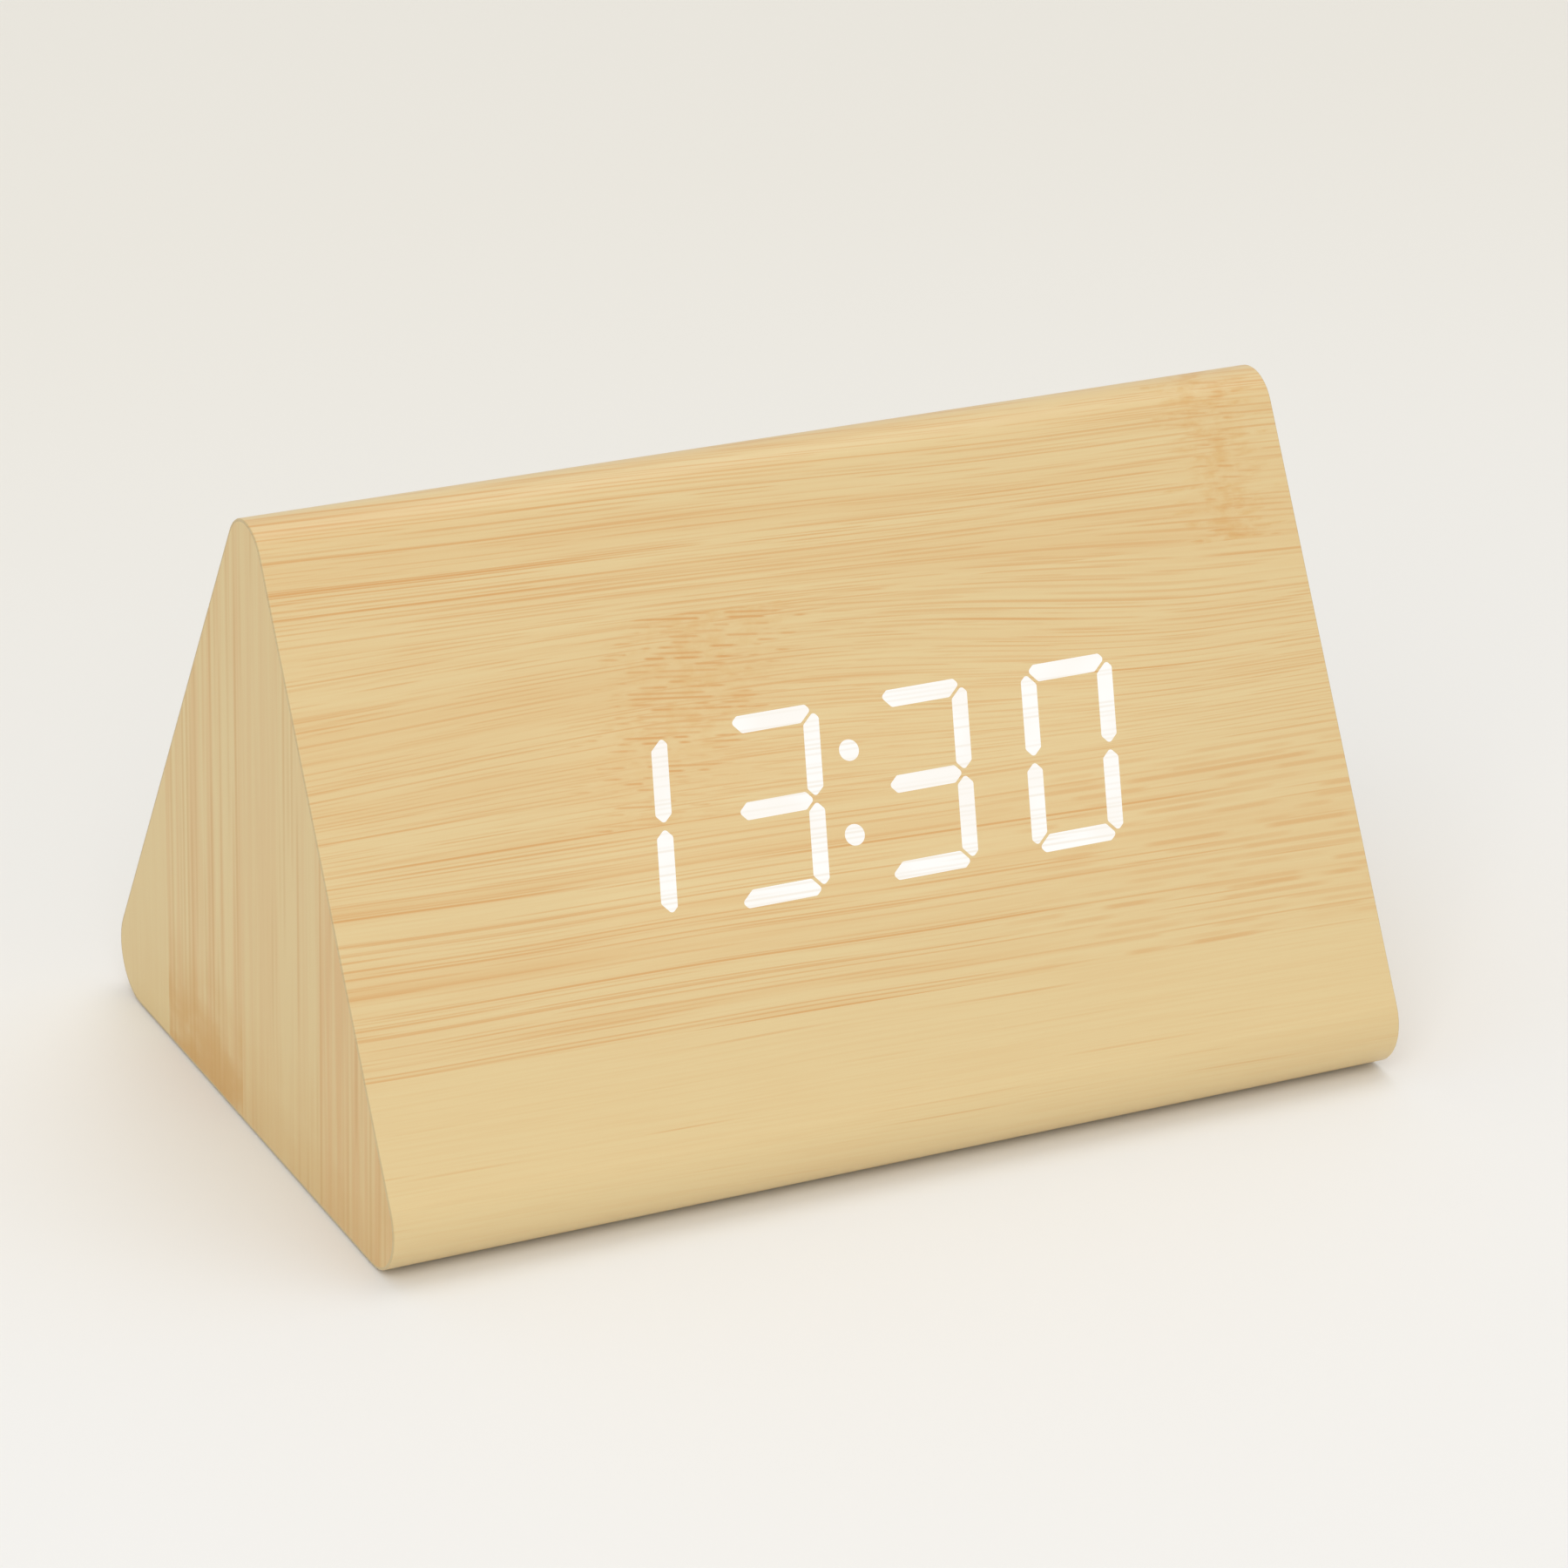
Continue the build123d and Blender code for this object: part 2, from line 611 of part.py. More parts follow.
def panel_screws():
    screw = rod(PANEL_SCREW_RADIUS, -PANEL_SCREW_LENGTH, 0) + countersunk_head()
    screw -= cross_slot(PANEL_SCREW_RADIUS, 0)
    places = at_corners(PANEL_SCREW_X, PANEL_SCREW_Y)
    return Compound([ON_REAR * (Pos(x, y, PANEL_OUTER) * screw) for x, y in places])


def battery_tray():
    """Open box behind the door, with low ribs between the cells and slots for the solder tabs."""
    tray = block(TRAY_LENGTH, TRAY_HEIGHT, BAY_FLOOR - TRAY_FLOOR, PANEL_INNER, BAY_X)
    tray -= block(BAY_LENGTH, BAY_HEIGHT, BAY_FLOOR, PANEL_INNER, BAY_X)
    rib_length = CELL_LENGTH / 2
    for first, second in zip(cell_rows(), cell_rows()[1:]):
        tray += block(rib_length, RIB, BAY_FLOOR, BAY_FLOOR + RIB, BAY_X, (first + second) / 2)
    for y in (cell_rows()[0], cell_rows()[-1]):
        x = BAY_X + (BAY_LENGTH + TRAY_WALL) / 2
        slot = block(TRAY_WALL, TAB_WIDTH + 2 * TAB_FIT, BAY_FLOOR, TAB_LEVEL + TAB_FIT, x, y)
        tray -= slot
    return ON_REAR * tray


def cell_rows():
    """Places of the cells up the slope, from the lowest."""
    return [(row - (CELLS - 1) / 2) * CELL_PITCH for row in range(CELLS)]


def plus_side(row):
    """Side of a cell's positive end, which alternates from row to row."""
    return 1 if row % 2 == 0 else -1


def cell(row):
    side = plus_side(row)
    can = lying_rod(CELL_RADIUS, CELL_LENGTH - NUB, -side * NUB / 2, 0, 0)
    can = fillet(can.edges().filter_by(GeomType.CIRCLE), CELL_EASE)
    nub = lying_rod(NUB_RADIUS, NUB, side * (CELL_LENGTH - NUB) / 2, 0, 0)
    return ON_REAR * (Pos(BAY_X, cell_rows()[row], CELL_LEVEL) * (can + nub))


def contact(side, rows, tab=False):
    """Contact sheet on one end wall, with a dimple or a spring cone for each of its cells."""
    wall = BAY_X + side * BAY_LENGTH / 2
    heights = [cell_rows()[row] for row in rows]
    middle = (heights[0] + heights[-1]) / 2
    width = heights[-1] - heights[0] + CONTACT_WIDTH
    sheet_x = wall - side * CONTACT_SHEET / 2
    sheet = Pos(sheet_x, middle, CELL_LEVEL) * Box(CONTACT_SHEET, width, CONTACT_HEIGHT)
    depth = CONTACT_ROOM - CONTACT_SHEET
    x = wall - side * (CONTACT_SHEET + depth / 2)
    for row, y in zip(rows, heights):
        if plus_side(row) == side:
            sheet += lying_rod(DIMPLE_RADIUS, depth, x, y, CELL_LEVEL)
        else:
            sheet += Pos(x, y, CELL_LEVEL) * Rot(0, -side * 90, 0) * Cone(SPRING_FOOT, SPRING_TOP, depth)
    if tab:
        sheet += solder_tab(middle)
    return ON_REAR * sheet


def solder_tab(y):
    """Tail of a contact: down its wall and out through the slot in the tray."""
    wall = BAY_X + BAY_LENGTH / 2
    tail_x = wall - CONTACT_SHEET / 2
    tail = block(CONTACT_SHEET, TAB_WIDTH, BAY_FLOOR, CELL_LEVEL, tail_x, y)
    length = CONTACT_SHEET + TRAY_WALL + TAB_REACH
    return tail + block(length, TAB_WIDTH, BAY_FLOOR, TAB_LEVEL, wall - CONTACT_SHEET + length / 2, y)


def left_contacts():
    pairs = [(row, row + 1) for row in range(0, CELLS - 1, 2)]
    return Compound([contact(-1, pair) for pair in pairs])


def right_contacts():
    pairs = [(row, row + 1) for row in range(1, CELLS - 2, 2)]
    ends = [contact(1, (row,), tab=True) for row in (0, CELLS - 1)]
    return Compound([contact(1, pair) for pair in pairs] + ends)


def door_slab(bottom, low, high, grow=0.0):
    """Slab from a bottom edge to the door's upper edge, with round upper corners, grown all round."""
    top = DOOR_HEIGHT / 2 + grow
    slab = block(DOOR_WIDTH + 2 * grow, top - bottom, low, high, 0, (top + bottom) / 2)
    return fillet(slab.edges().filter_by(Axis.Z).group_by(Axis.Y)[-1], DOOR_RADIUS + grow)


def battery_door():
    """Door with a round lower edge, two pivots, a springy tongue and a grip."""
    top = DOOR_HEIGHT / 2
    leaf = door_slab(PIVOT_Y, PANEL_OUTER - DOOR, PANEL_OUTER)
    leaf += lying_rod(DOOR / 2, DOOR_WIDTH, 0, PIVOT_Y, PIVOT_LEVEL)
    leaf += lying_rod(PIVOT_RADIUS, pivot_span(), 0, PIVOT_Y, PIVOT_LEVEL)
    for side in (-1, 1):
        x = side * (TONGUE_WIDTH + TONGUE_SLOT) / 2
        y = top - TONGUE_LENGTH / 2
        leaf -= block(TONGUE_SLOT, TONGUE_LENGTH, PANEL_OUTER - DOOR, PANEL_OUTER, x, y)
    leaf += lying_rod(BUMP_RADIUS, BUMP_LENGTH, 0, top - BUMP_RADIUS + BUMP_PROUD, PIVOT_LEVEL)
    for bar in range(GRIP_BARS):
        y = top - TONGUE_LENGTH / 2 + (bar - (GRIP_BARS - 1) / 2) * GRIP_PITCH
        leaf += block(GRIP_LENGTH, GRIP_WIDTH, PANEL_OUTER - DOOR / 2, PANEL_OUTER + GRIP_PROUD, 0, y)
    return ON_REAR * (Pos(BAY_X, 0, 0) * leaf)


# Main board

def main_board():
    board = block(MAIN_WIDTH, MAIN_HEIGHT, MAIN_INNER, MAIN_OUTER, MAIN_X)
    for x, y in at_corners(BOSS_X, BOSS_Y, MAIN_X):
        board -= rod(SMALL_SCREW_RADIUS + SCREW_FIT, MAIN_INNER, MAIN_OUTER, x, y)
    return ON_REAR * board


def main_board_screws():
    screw = Rot(180, 0, 0) * pan_screw(SMALL_SCREW_RADIUS, CIRCUIT + SMALL_SCREW_BITE)
    places = at_corners(BOSS_X, BOSS_Y, MAIN_X)
    return Compound([ON_REAR * (Pos(x, y, MAIN_INNER) * screw) for x, y in places])


def controller_chip():
    return ON_REAR * (Pos(MAIN_X, CHIP_Y, 0) * chip(CHIP_LENGTH, MAIN_INNER))


def clock_crystal():
    level = MAIN_INNER - CRYSTAL_RADIUS
    can = Pos(MAIN_X + CRYSTAL_X, CHIP_Y, level) * Rot(90, 0, 0) * Cylinder(CRYSTAL_RADIUS, CRYSTAL_LENGTH)
    return ON_REAR * can


def supply_capacitor():
    can = rod(CAPACITOR_RADIUS, MAIN_INNER - CAPACITOR, MAIN_INNER, MAIN_X + CAPACITOR_X, LOWER_ROW)
    can = fillet(can.edges().group_by(Axis.Z)[0], CAPACITOR_RADIUS / 5)
    return ON_REAR * can


def backup_cell_holder():
    x = MAIN_X + COIN_X
    holder = block(HOLDER_WIDTH, HOLDER_WIDTH, MAIN_INNER - HOLDER, MAIN_INNER, x, LOWER_ROW)
    pocket_top = MAIN_INNER - HOLDER_FLOOR
    holder -= rod(COIN_RADIUS + COIN_FIT, MAIN_INNER - HOLDER, pocket_top, x, LOWER_ROW)
    return ON_REAR * holder


def backup_cell():
    top = MAIN_INNER - HOLDER_FLOOR
    return ON_REAR * rod(COIN_RADIUS, top - COIN, top, MAIN_X + COIN_X, LOWER_ROW)


def buzzer():
    x = MAIN_X + BUZZER_X
    top = MAIN_OUTER + BUZZER
    can = rod(BUZZER_RADIUS, MAIN_OUTER, top, x, CONTROLS_ROW)
    return ON_REAR * (can - rod(BUZZER_HOLE, MAIN_OUTER + BUZZER / 2, top, x, CONTROLS_ROW))


def microphone():
    return ON_REAR * rod(VOICE_RADIUS, MAIN_OUTER, MAIN_OUTER + VOICE, MAIN_X + VOICE_X, CONTROLS_ROW)


def temperature_sensor():
    return ON_REAR * rod(SENSOR_RADIUS, MAIN_OUTER, MAIN_OUTER + SENSOR, MAIN_X + SENSOR_X, SENSOR_Y)


# Buttons, switches and power inlet

def button_places():
    middle = (len(BUTTON_NAMES) - 1) / 2
    return [(MAIN_X + (place - middle) * BUTTON_PITCH, BUTTON_Y) for place in range(len(BUTTON_NAMES))]


def button(name, x, y):
    """Round cap with a collar under the panel and a raised mark: dot, plus or minus."""
    top = PANEL_OUTER + BUTTON_PROUD
    cap = rod(BUTTON_RADIUS, COLLAR_LOW, top)
    cap = fillet(cap.edges().group_by(Axis.Z)[-1], BUTTON_EASE)
    cap += rod(COLLAR_RADIUS, COLLAR_LOW, COLLAR_TOP)
    cap += rod(STUB_RADIUS, PLUNGER_TOP, COLLAR_LOW)
    if name == "set":
        cap += rod(MARK_LENGTH / 3, COLLAR_LOW, top + MARK_PROUD)
    else:
        cap += block(MARK_LENGTH, MARK_WIDTH, COLLAR_LOW, top + MARK_PROUD)
    if name == "up":
        cap += block(MARK_WIDTH, MARK_LENGTH, COLLAR_LOW, top + MARK_PROUD)
    return ON_REAR * (Pos(x, y, 0) * cap)


def switch_plunger(x, y):
    return ON_REAR * rod(PLUNGER_RADIUS, SWITCH_TOP - PLUNGER_DEPTH, PLUNGER_TOP, x, y)


def switch_body(x, y):
    body = block(SWITCH_SIDE, SWITCH_SIDE, MAIN_OUTER, SWITCH_TOP, x, y)
    depth = PLUNGER_DEPTH + BUTTON_TRAVEL + PLUNGER_PLAY
    return ON_REAR * (body - rod(PLUNGER_RADIUS + PLUNGER_FIT, SWITCH_TOP - depth, SWITCH_TOP, x, y))


def power_jack():
    """Round inlet on a square foot, open to the rear."""
    x = MAIN_X + JACK_X
    jack = block(JACK_SIDE, JACK_SIDE, MAIN_OUTER, MAIN_OUTER + JACK_FOOT, x, CONTROLS_ROW)
    jack += rod(JACK_RADIUS, MAIN_OUTER, JACK_TOP, x, CONTROLS_ROW)
    return ON_REAR * (jack - rod(JACK_BORE, JACK_FLOOR, JACK_TOP, x, CONTROLS_ROW))


def power_jack_pin():
    pin = rod(JACK_PIN_RADIUS, JACK_FLOOR, JACK_TOP - JACK_PIN_SUNK, MAIN_X + JACK_X, CONTROLS_ROW)
    return ON_REAR * fillet(pin.edges().group_by(Axis.Z)[-1], JACK_PIN_RADIUS / 2)


# Wires between the boards

def ribbon_socket(level):
    """Socket that hangs below a board's level, for the ribbon's end."""
    return block(RIBBON_WIDTH + 2 * SOCKET_WALL, SOCKET_HEIGHT, level - SOCKET, level)


def main_socket():
    return ON_REAR * (Pos(MAIN_X, RIBBON_Y - PANEL_LIFT, 0) * ribbon_socket(MAIN_INNER))


def display_socket():
    return ON_FRONT * (Pos(-MAIN_X - DIGITS_SHIFT, RIBBON_Y - DIGITS_LIFT, 0) * ribbon_socket(DISPLAY_INNER))


def ribbon_cable():
    """Flat cable of a set length that leaves both sockets squarely and hangs in a loop between them."""
    front_end = FRONT_MIDDLE + FRONT_UP * RIBBON_Y + FRONT_OUT * (DISPLAY_INNER - SOCKET)
    rear_end = REAR_MIDDLE + REAR_UP * RIBBON_Y + REAR_OUT * (MAIN_INNER - SOCKET)
    front_lead = front_end - FRONT_OUT * RIBBON_LEAD
    rear_lead = rear_end - REAR_OUT * RIBBON_LEAD
    drops = RIBBON_LENGTH - 2 * RIBBON_LEAD - (rear_lead.Y - front_lead.Y)
    low = (front_lead.Z + rear_lead.Z - drops) / 2
    points = [
        (front_end.Y, front_end.Z),
        (front_lead.Y, front_lead.Z),
        (front_lead.Y, low),
        (rear_lead.Y, low),
        (rear_lead.Y, rear_lead.Z),
        (rear_end.Y, rear_end.Z),
    ]
    section = trace(FilletPolyline(*points, radius=RIBBON_BEND), RIBBON)
    return along_x(section, -MAIN_X - RIBBON_WIDTH / 2, -MAIN_X + RIBBON_WIDTH / 2)


def battery_lead(y):
    """Wire from a solder tab, down under the main board and up to it."""
    x = BAY_X + TRAY_LENGTH / 2 + TAB_REACH
    level = (BAY_FLOOR + TAB_LEVEL) / 2
    points = [
        (x, y, level),
        (x + LEAD_RUN, y, level),
        (x + 2 * LEAD_RUN, y, level - LEAD_DROP),
        (x + 3 * LEAD_RUN, y, level - LEAD_DROP),
        (x + 3 * LEAD_RUN, y, MAIN_INNER),
    ]
    path = FilletPolyline(*points, radius=LEAD_BEND)
    section = Plane(origin=points[0], z_dir=(1, 0, 0)) * Circle(LEAD_RADIUS)
    return ON_REAR * sweep(section, path=path)


pieces = {
    "wrap_film": wrap_film(),
    "left_end_film": end_film(-1),
    "right_end_film": end_film(1),
    "front_board": front_board(),
    "rear_board": rear_board(),
    "base_board": case_board(0, 1),
    "left_end_board": end_board(-1),
    "right_end_board": end_board(1),
    "foot_pads": foot_pads(),
    "lit_digits": Compound(lit_solids()),
    "digit_frame": digit_frame(),
    "light_guides": light_guides(),
    "lamps": lamps(),
    "display_board": display_board(),
    "display_screws": display_screws(),
    "driver_chip": driver_chip(),
    "display_socket": display_socket(),
    "ribbon_cable": ribbon_cable(),
    "main_socket": main_socket(),
    "main_board": main_board(),
    "main_board_screws": main_board_screws(),
    "controller_chip": controller_chip(),
    "clock_crystal": clock_crystal(),
    "supply_capacitor": supply_capacitor(),
    "backup_cell_holder": backup_cell_holder(),
    "backup_cell": backup_cell(),
    "buzzer": buzzer(),
    "microphone": microphone(),
    "temperature_sensor": temperature_sensor(),
    "power_jack": power_jack(),
    "power_jack_pin": power_jack_pin(),
    "rear_panel": rear_panel(),
    "panel_screws": panel_screws(),
    "battery_tray": battery_tray(),
    "left_contacts": left_contacts(),
    "right_contacts": right_contacts(),
    "battery_door": battery_door(),
    "black_lead": battery_lead(cell_rows()[0]),
    "red_lead": battery_lead(cell_rows()[-1]),
}
for row in range(CELLS):
    pieces[f"battery_cell_{row + 1}"] = cell(row)
for name, (x, y) in zip(BUTTON_NAMES, button_places()):
    pieces[f"{name}_button"] = button(name, x, y)
    pieces[f"{name}_switch_plunger"] = switch_plunger(x, y)
    pieces[f"{name}_switch"] = switch_body(x, y)

os.makedirs("parts", exist_ok=True)
for name, piece in pieces.items():
    export_step(piece, f"parts/{name}.step")
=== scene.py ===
import json
import math
from collections import namedtuple
from functools import reduce

import bpy
from mathutils import Matrix, Vector


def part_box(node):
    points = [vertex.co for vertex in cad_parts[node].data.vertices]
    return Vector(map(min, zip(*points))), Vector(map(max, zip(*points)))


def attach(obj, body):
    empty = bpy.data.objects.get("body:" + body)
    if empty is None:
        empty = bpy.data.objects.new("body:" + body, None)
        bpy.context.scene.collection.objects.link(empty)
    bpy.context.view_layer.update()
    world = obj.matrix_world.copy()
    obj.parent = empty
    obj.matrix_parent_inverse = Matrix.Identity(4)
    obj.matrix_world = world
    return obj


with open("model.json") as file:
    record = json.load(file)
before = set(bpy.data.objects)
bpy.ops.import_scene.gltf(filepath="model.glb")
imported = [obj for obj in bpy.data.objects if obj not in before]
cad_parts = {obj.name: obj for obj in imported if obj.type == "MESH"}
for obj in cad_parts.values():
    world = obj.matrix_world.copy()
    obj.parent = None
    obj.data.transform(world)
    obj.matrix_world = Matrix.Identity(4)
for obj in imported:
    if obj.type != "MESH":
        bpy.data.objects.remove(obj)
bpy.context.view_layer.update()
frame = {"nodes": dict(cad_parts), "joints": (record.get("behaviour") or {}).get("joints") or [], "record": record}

# Finish and light for the triangular wooden desk clock.
# Metres, in the clock's own frame: X along the clock, -Y towards the reader, Z up.
# Patterns and places inside materials are in millimetres.

NODES = frame["nodes"]
JOINTS = {joint["name"]: joint for joint in frame["joints"]}
MM = 0.001

# Noise: its size in each direction, its seed and fineness, and the levels between which it climbs
Pattern = namedtuple("Pattern", "sizes seed detail roughness levels", defaults=(0.0, 2.0, 0.5, None))
# Printed lines: width of a lane, usual length, half a line's width, seed, density and strength
LineSet = namedtuple("LineSet", "lane length width seed density strength", defaults=(1.0, 1.0))
# Bamboo knuckle: its middle and half its width along the clock, and its lean along the clock going up
Knuckle = namedtuple("Knuckle", "middle spread lean")
# Finishes: grain is the size of the surface's texture, and depth that of its bumps
Plastic = namedtuple("Plastic", "colour roughness grain depth")
Metal = namedtuple("Metal", "colour roughness grain")
# Lamp: its place and side in metres, and its power in watts
Lamp = namedtuple("Lamp", "place size power")

# The photograph's view
VIEW_AZIMUTH = -27.149
VIEW_ELEVATION = 24.049
VIEW_ROLL = 1.617
VIEW_DISTANCE = 825.4 * MM
VIEW_ASIDE = 3.43 * MM
VIEW_BELOW = 2.28 * MM
VIEW_HEIGHT = 40.3 * MM
VIEW_LENS = 138.70
VIEW_SENSOR = 36.0
VIEW_REACH = 20.0

# Light and floor
FLOOR_SIDE = 6.0
FLOOR_NEAR = (0.858, 0.853, 0.838)
# Painted shade: the floor turns darker and warmer towards the back, standing in for less and warmer light there
FLOOR_SHADED = (0.820, 0.796, 0.736)
FLOOR_SHADE_START_Y = -100.0
FLOOR_SHADE_FULL_Y = 400.0
FLOOR_CLOUDS = Pattern(sizes=(300.0, 300.0))
FLOOR_CLOUD_SHARE = 0.06
WORLD_COLOUR = (1.0, 0.995, 0.985)
WORLD_STRENGTH = 0.70
LAMP_COLOUR = (1.0, 0.99, 0.97)
LAMPS = {
    "front_lamp": Lamp(place=(-1.35, -1.95, 2.0), size=2.2, power=33.0),
    "top_lamp": Lamp(place=(0.5, 0.25, 2.6), size=1.6, power=13.0),
}

# Directions on the clock, taken from the frame
REAR_OUT = -Vector(JOINTS["set_button_press"]["axis"])
LEAN_SIN = REAR_OUT.y
LEAN_COS = REAR_OUT.z
REAR_UP = Vector((0, -LEAN_COS, LEAN_SIN))
FRONT_UP = Vector((0, LEAN_COS, LEAN_SIN))
HALF_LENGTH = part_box("wrap_film")[1][0] / MM
RIDGE_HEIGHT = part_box("wrap_film")[1][2] / MM


def node_middle(node):
    """Middle of a node's box, as a vector in metres."""
    low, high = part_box(node)
    return (Vector(low) + Vector(high)) / 2


# Up the front's slope: the digits' middle above the flat face's lower end, that end, and the ridge above it
DIGITS_ABOVE_EDGE = 42.24
SLOPE_ZERO = node_middle("lit_digits").dot(FRONT_UP) / MM - DIGITS_ABOVE_EDGE
SLOPE_RIDGE = LEAN_SIN * RIDGE_HEIGHT - SLOPE_ZERO


# Sockets of the mix node that carry colours
MIX_SHARE = 0
MIX_FIRST = 6
MIX_SECOND = 7
MIX_COLOUR = 2


# Shader maths

class Number:
    """A value inside a material that takes part in Python sums."""

    def __init__(self, finish, socket):
        self.finish = finish
        self.socket = socket

    def maths(self, operation, *others):
        inputs = dict(enumerate((self,) + others))
        return self.finish.node("ShaderNodeMath", {"operation": operation}, inputs)

    def swapped(self, operation, other):
        return self.finish.node("ShaderNodeMath", {"operation": operation}, {0: other, 1: self})

    def __add__(self, other):
        return self.maths("ADD", other)

    __radd__ = __add__

    def __sub__(self, other):
        return self.maths("SUBTRACT", other)

    def __rsub__(self, other):
        return self.swapped("SUBTRACT", other)

    def __mul__(self, other):
        return self.maths("MULTIPLY", other)

    __rmul__ = __mul__

    def __truediv__(self, other):
        return self.maths("DIVIDE", other)

    def __abs__(self):
        return self.maths("ABSOLUTE")

    def floor(self):
        return self.maths("FLOOR")

    def sign(self):
        return self.maths("SIGN")

    def least(self, other):
        return self.maths("MINIMUM", other)

    def most(self, other):
        return self.maths("MAXIMUM", other)

    def equals(self, other):
        """1 where this whole number is the other one, and 0 elsewhere."""
        half_step = 0.5
        return self.maths("COMPARE", other, half_step)

    def bell(self, middle, width):
        """1 at middle, falling smoothly to 0 at width on both sides."""
        return (abs(self - middle) / width).rise(1.0, 0.0)

    def rise(self, low, high):
        """Smooth climb from 0 at low to 1 at high."""
        settings = {"interpolation_type": "SMOOTHSTEP"}
        inputs = {"Value": self, "From Min": low, "From Max": high}
        return self.finish.node("ShaderNodeMapRange", settings, inputs)


class Finish:
    """One material, its shader and the nodes that feed it."""

    def __init__(self, name, **constants):
        self.material = bpy.data.materials.new(name)
        self.material.use_nodes = True
        self.tree = self.material.node_tree
        self.tree.nodes.clear()
        self.shader = self.tree.nodes.new("ShaderNodeBsdfPrincipled")
        output = self.tree.nodes.new("ShaderNodeOutputMaterial")
        self.tree.links.new(self.shader.outputs[0], output.inputs["Surface"])
        for socket, value in constants.items():
            self.shader.inputs[socket.replace("_", " ")].default_value = value

    def node(self, kind, settings=None, inputs=None, output=0):
        """Adds a node, with its settings first and then the values or links of its sockets."""
        made = self.tree.nodes.new(kind)
        for name, value in (settings or {}).items():
            setattr(made, name, value)
        for key, value in (inputs or {}).items():
            self.feed(made.inputs[key], value)
        return Number(self, made.outputs[output])

    def feed(self, socket, value):
        if isinstance(value, Number):
            self.tree.links.new(value.socket, socket)
        else:
            socket.default_value = value

    def shade(self, socket, value):
        """Feeds one of the shader's own sockets."""
        self.feed(self.shader.inputs[socket], value)

    def place(self):
        """Object coordinates as three values in millimetres."""
        point = self.node("ShaderNodeTexCoord", output="Object")
        apart = self.node("ShaderNodeSeparateXYZ", None, {"Vector": point}).socket.node
        return [Number(self, output) / MM for output in apart.outputs]

    def noise(self, x, y, z, detail=2.0, roughness=0.5):
        """Fractal noise from 0 to 1 at a point given by three values."""
        point = self.node("ShaderNodeCombineXYZ", None, {"X": x, "Y": y, "Z": z})
        inputs = {"Vector": point, "Scale": 1.0, "Detail": detail, "Roughness": roughness}
        return self.node("ShaderNodeTexNoise", {"noise_dimensions": "3D"}, inputs)

    def patches(self, places, pattern, shift=0.0):
        """Noise over two or three directions, stretched by a pattern's sizes and cut off at its levels."""
        stretched = [place / size for place, size in zip(places, pattern.sizes)]
        if len(stretched) == 2:
            # The seed takes the place of the third direction
            stretched.append(shift + pattern.seed)
        noise = self.noise(*stretched, pattern.detail, pattern.roughness)
        return noise.rise(*pattern.levels) if pattern.levels else noise

    def chance(self, seed):
        """A random value from 0 to 1 that stays the same wherever the seed does."""
        return self.node("ShaderNodeTexWhiteNoise", {"noise_dimensions": "1D"}, {"W": seed})

    def blend(self, first, second, share):
        """Colour between two colours."""
        first, second = (c if isinstance(c, Number) else (*c, 1.0) for c in (first, second))
        inputs = {MIX_SHARE: share, MIX_FIRST: first, MIX_SECOND: second}
        return self.node("ShaderNodeMix", {"data_type": "RGBA"}, inputs, MIX_COLOUR)

    def bump(self, height, strength, distance):
        inputs = {"Height": height, "Strength": strength, "Distance": distance}
        self.shade("Normal", self.node("ShaderNodeBump", None, inputs))


# Printed lines: one to a lane, where noise along the lane stands above a level that falls with density
LANE_MARGIN = 0.3
LANE_APART = 3.7
LUCK_APART = 40.0
RUN_DETAIL = 1.0
SPARSE_LEVEL = 0.64
DENSE_DROP = 0.26
LEVEL_SOFT = 0.16
LINE_CORE = 0.3
FAINTEST_LINE = 0.45


def fibres(finish, along, across, lines, crowd=1.0):
    """Thin straight lines, one to a lane, each broken at random along its length."""
    lane = (across / lines.lane).floor()
    luck = finish.chance(lane + lines.seed)
    middle = lane + LANE_MARGIN + luck * (1.0 - 2 * LANE_MARGIN)
    aside = abs(across / lines.lane - middle) * lines.lane
    run = finish.noise(along / lines.length + luck * LUCK_APART, lane * LANE_APART, lines.seed, RUN_DETAIL)
    level = SPARSE_LEVEL - DENSE_DROP * (crowd * lines.density)
    shown = run.rise(level, level + LEVEL_SOFT)
    boldness = FAINTEST_LINE + (1.0 - FAINTEST_LINE) * luck
    return (aside / lines.width).rise(1.0, LINE_CORE) * shown * boldness * lines.strength


# Bamboo strips of the wood-look film, counted up the front, and where two of them change along the clock
STRIP_WIDTH = 27.2
STRIP_EDGE = 14.5
GRAIN_DRIFT = 0.028
FOOT_STRIP = -1
LOWER_STRIP = 0
MIDDLE_STRIP = 1
UPPER_STRIP = 2
STRIP_DENSITY = {FOOT_STRIP: 0.08, LOWER_STRIP: 1.0, MIDDLE_STRIP: 0.62, UPPER_STRIP: 0.76}
OTHER_SEED = 7.0
OTHER_LEAST = 0.2
OTHER_SPAN = 0.7
LOWER_RIGHT = (5.0, 40.0)
MIDDLE_RIGHT = (-20.0, 20.0)

# How the grain of the film bends on the front
BEND_UP = 56.0
BEND_REACH = 20.0
BEND_START = -25.0
BEND_SLOPE = -0.048
FALL_SPAN = (-10.0, 60.0)
FALL_DEPTH = 5.5
UPPER_SLOPE = 0.010
WAVE = Pattern(sizes=(80.0, 30.0), detail=1.0)
WAVE_HEIGHT = 2.0

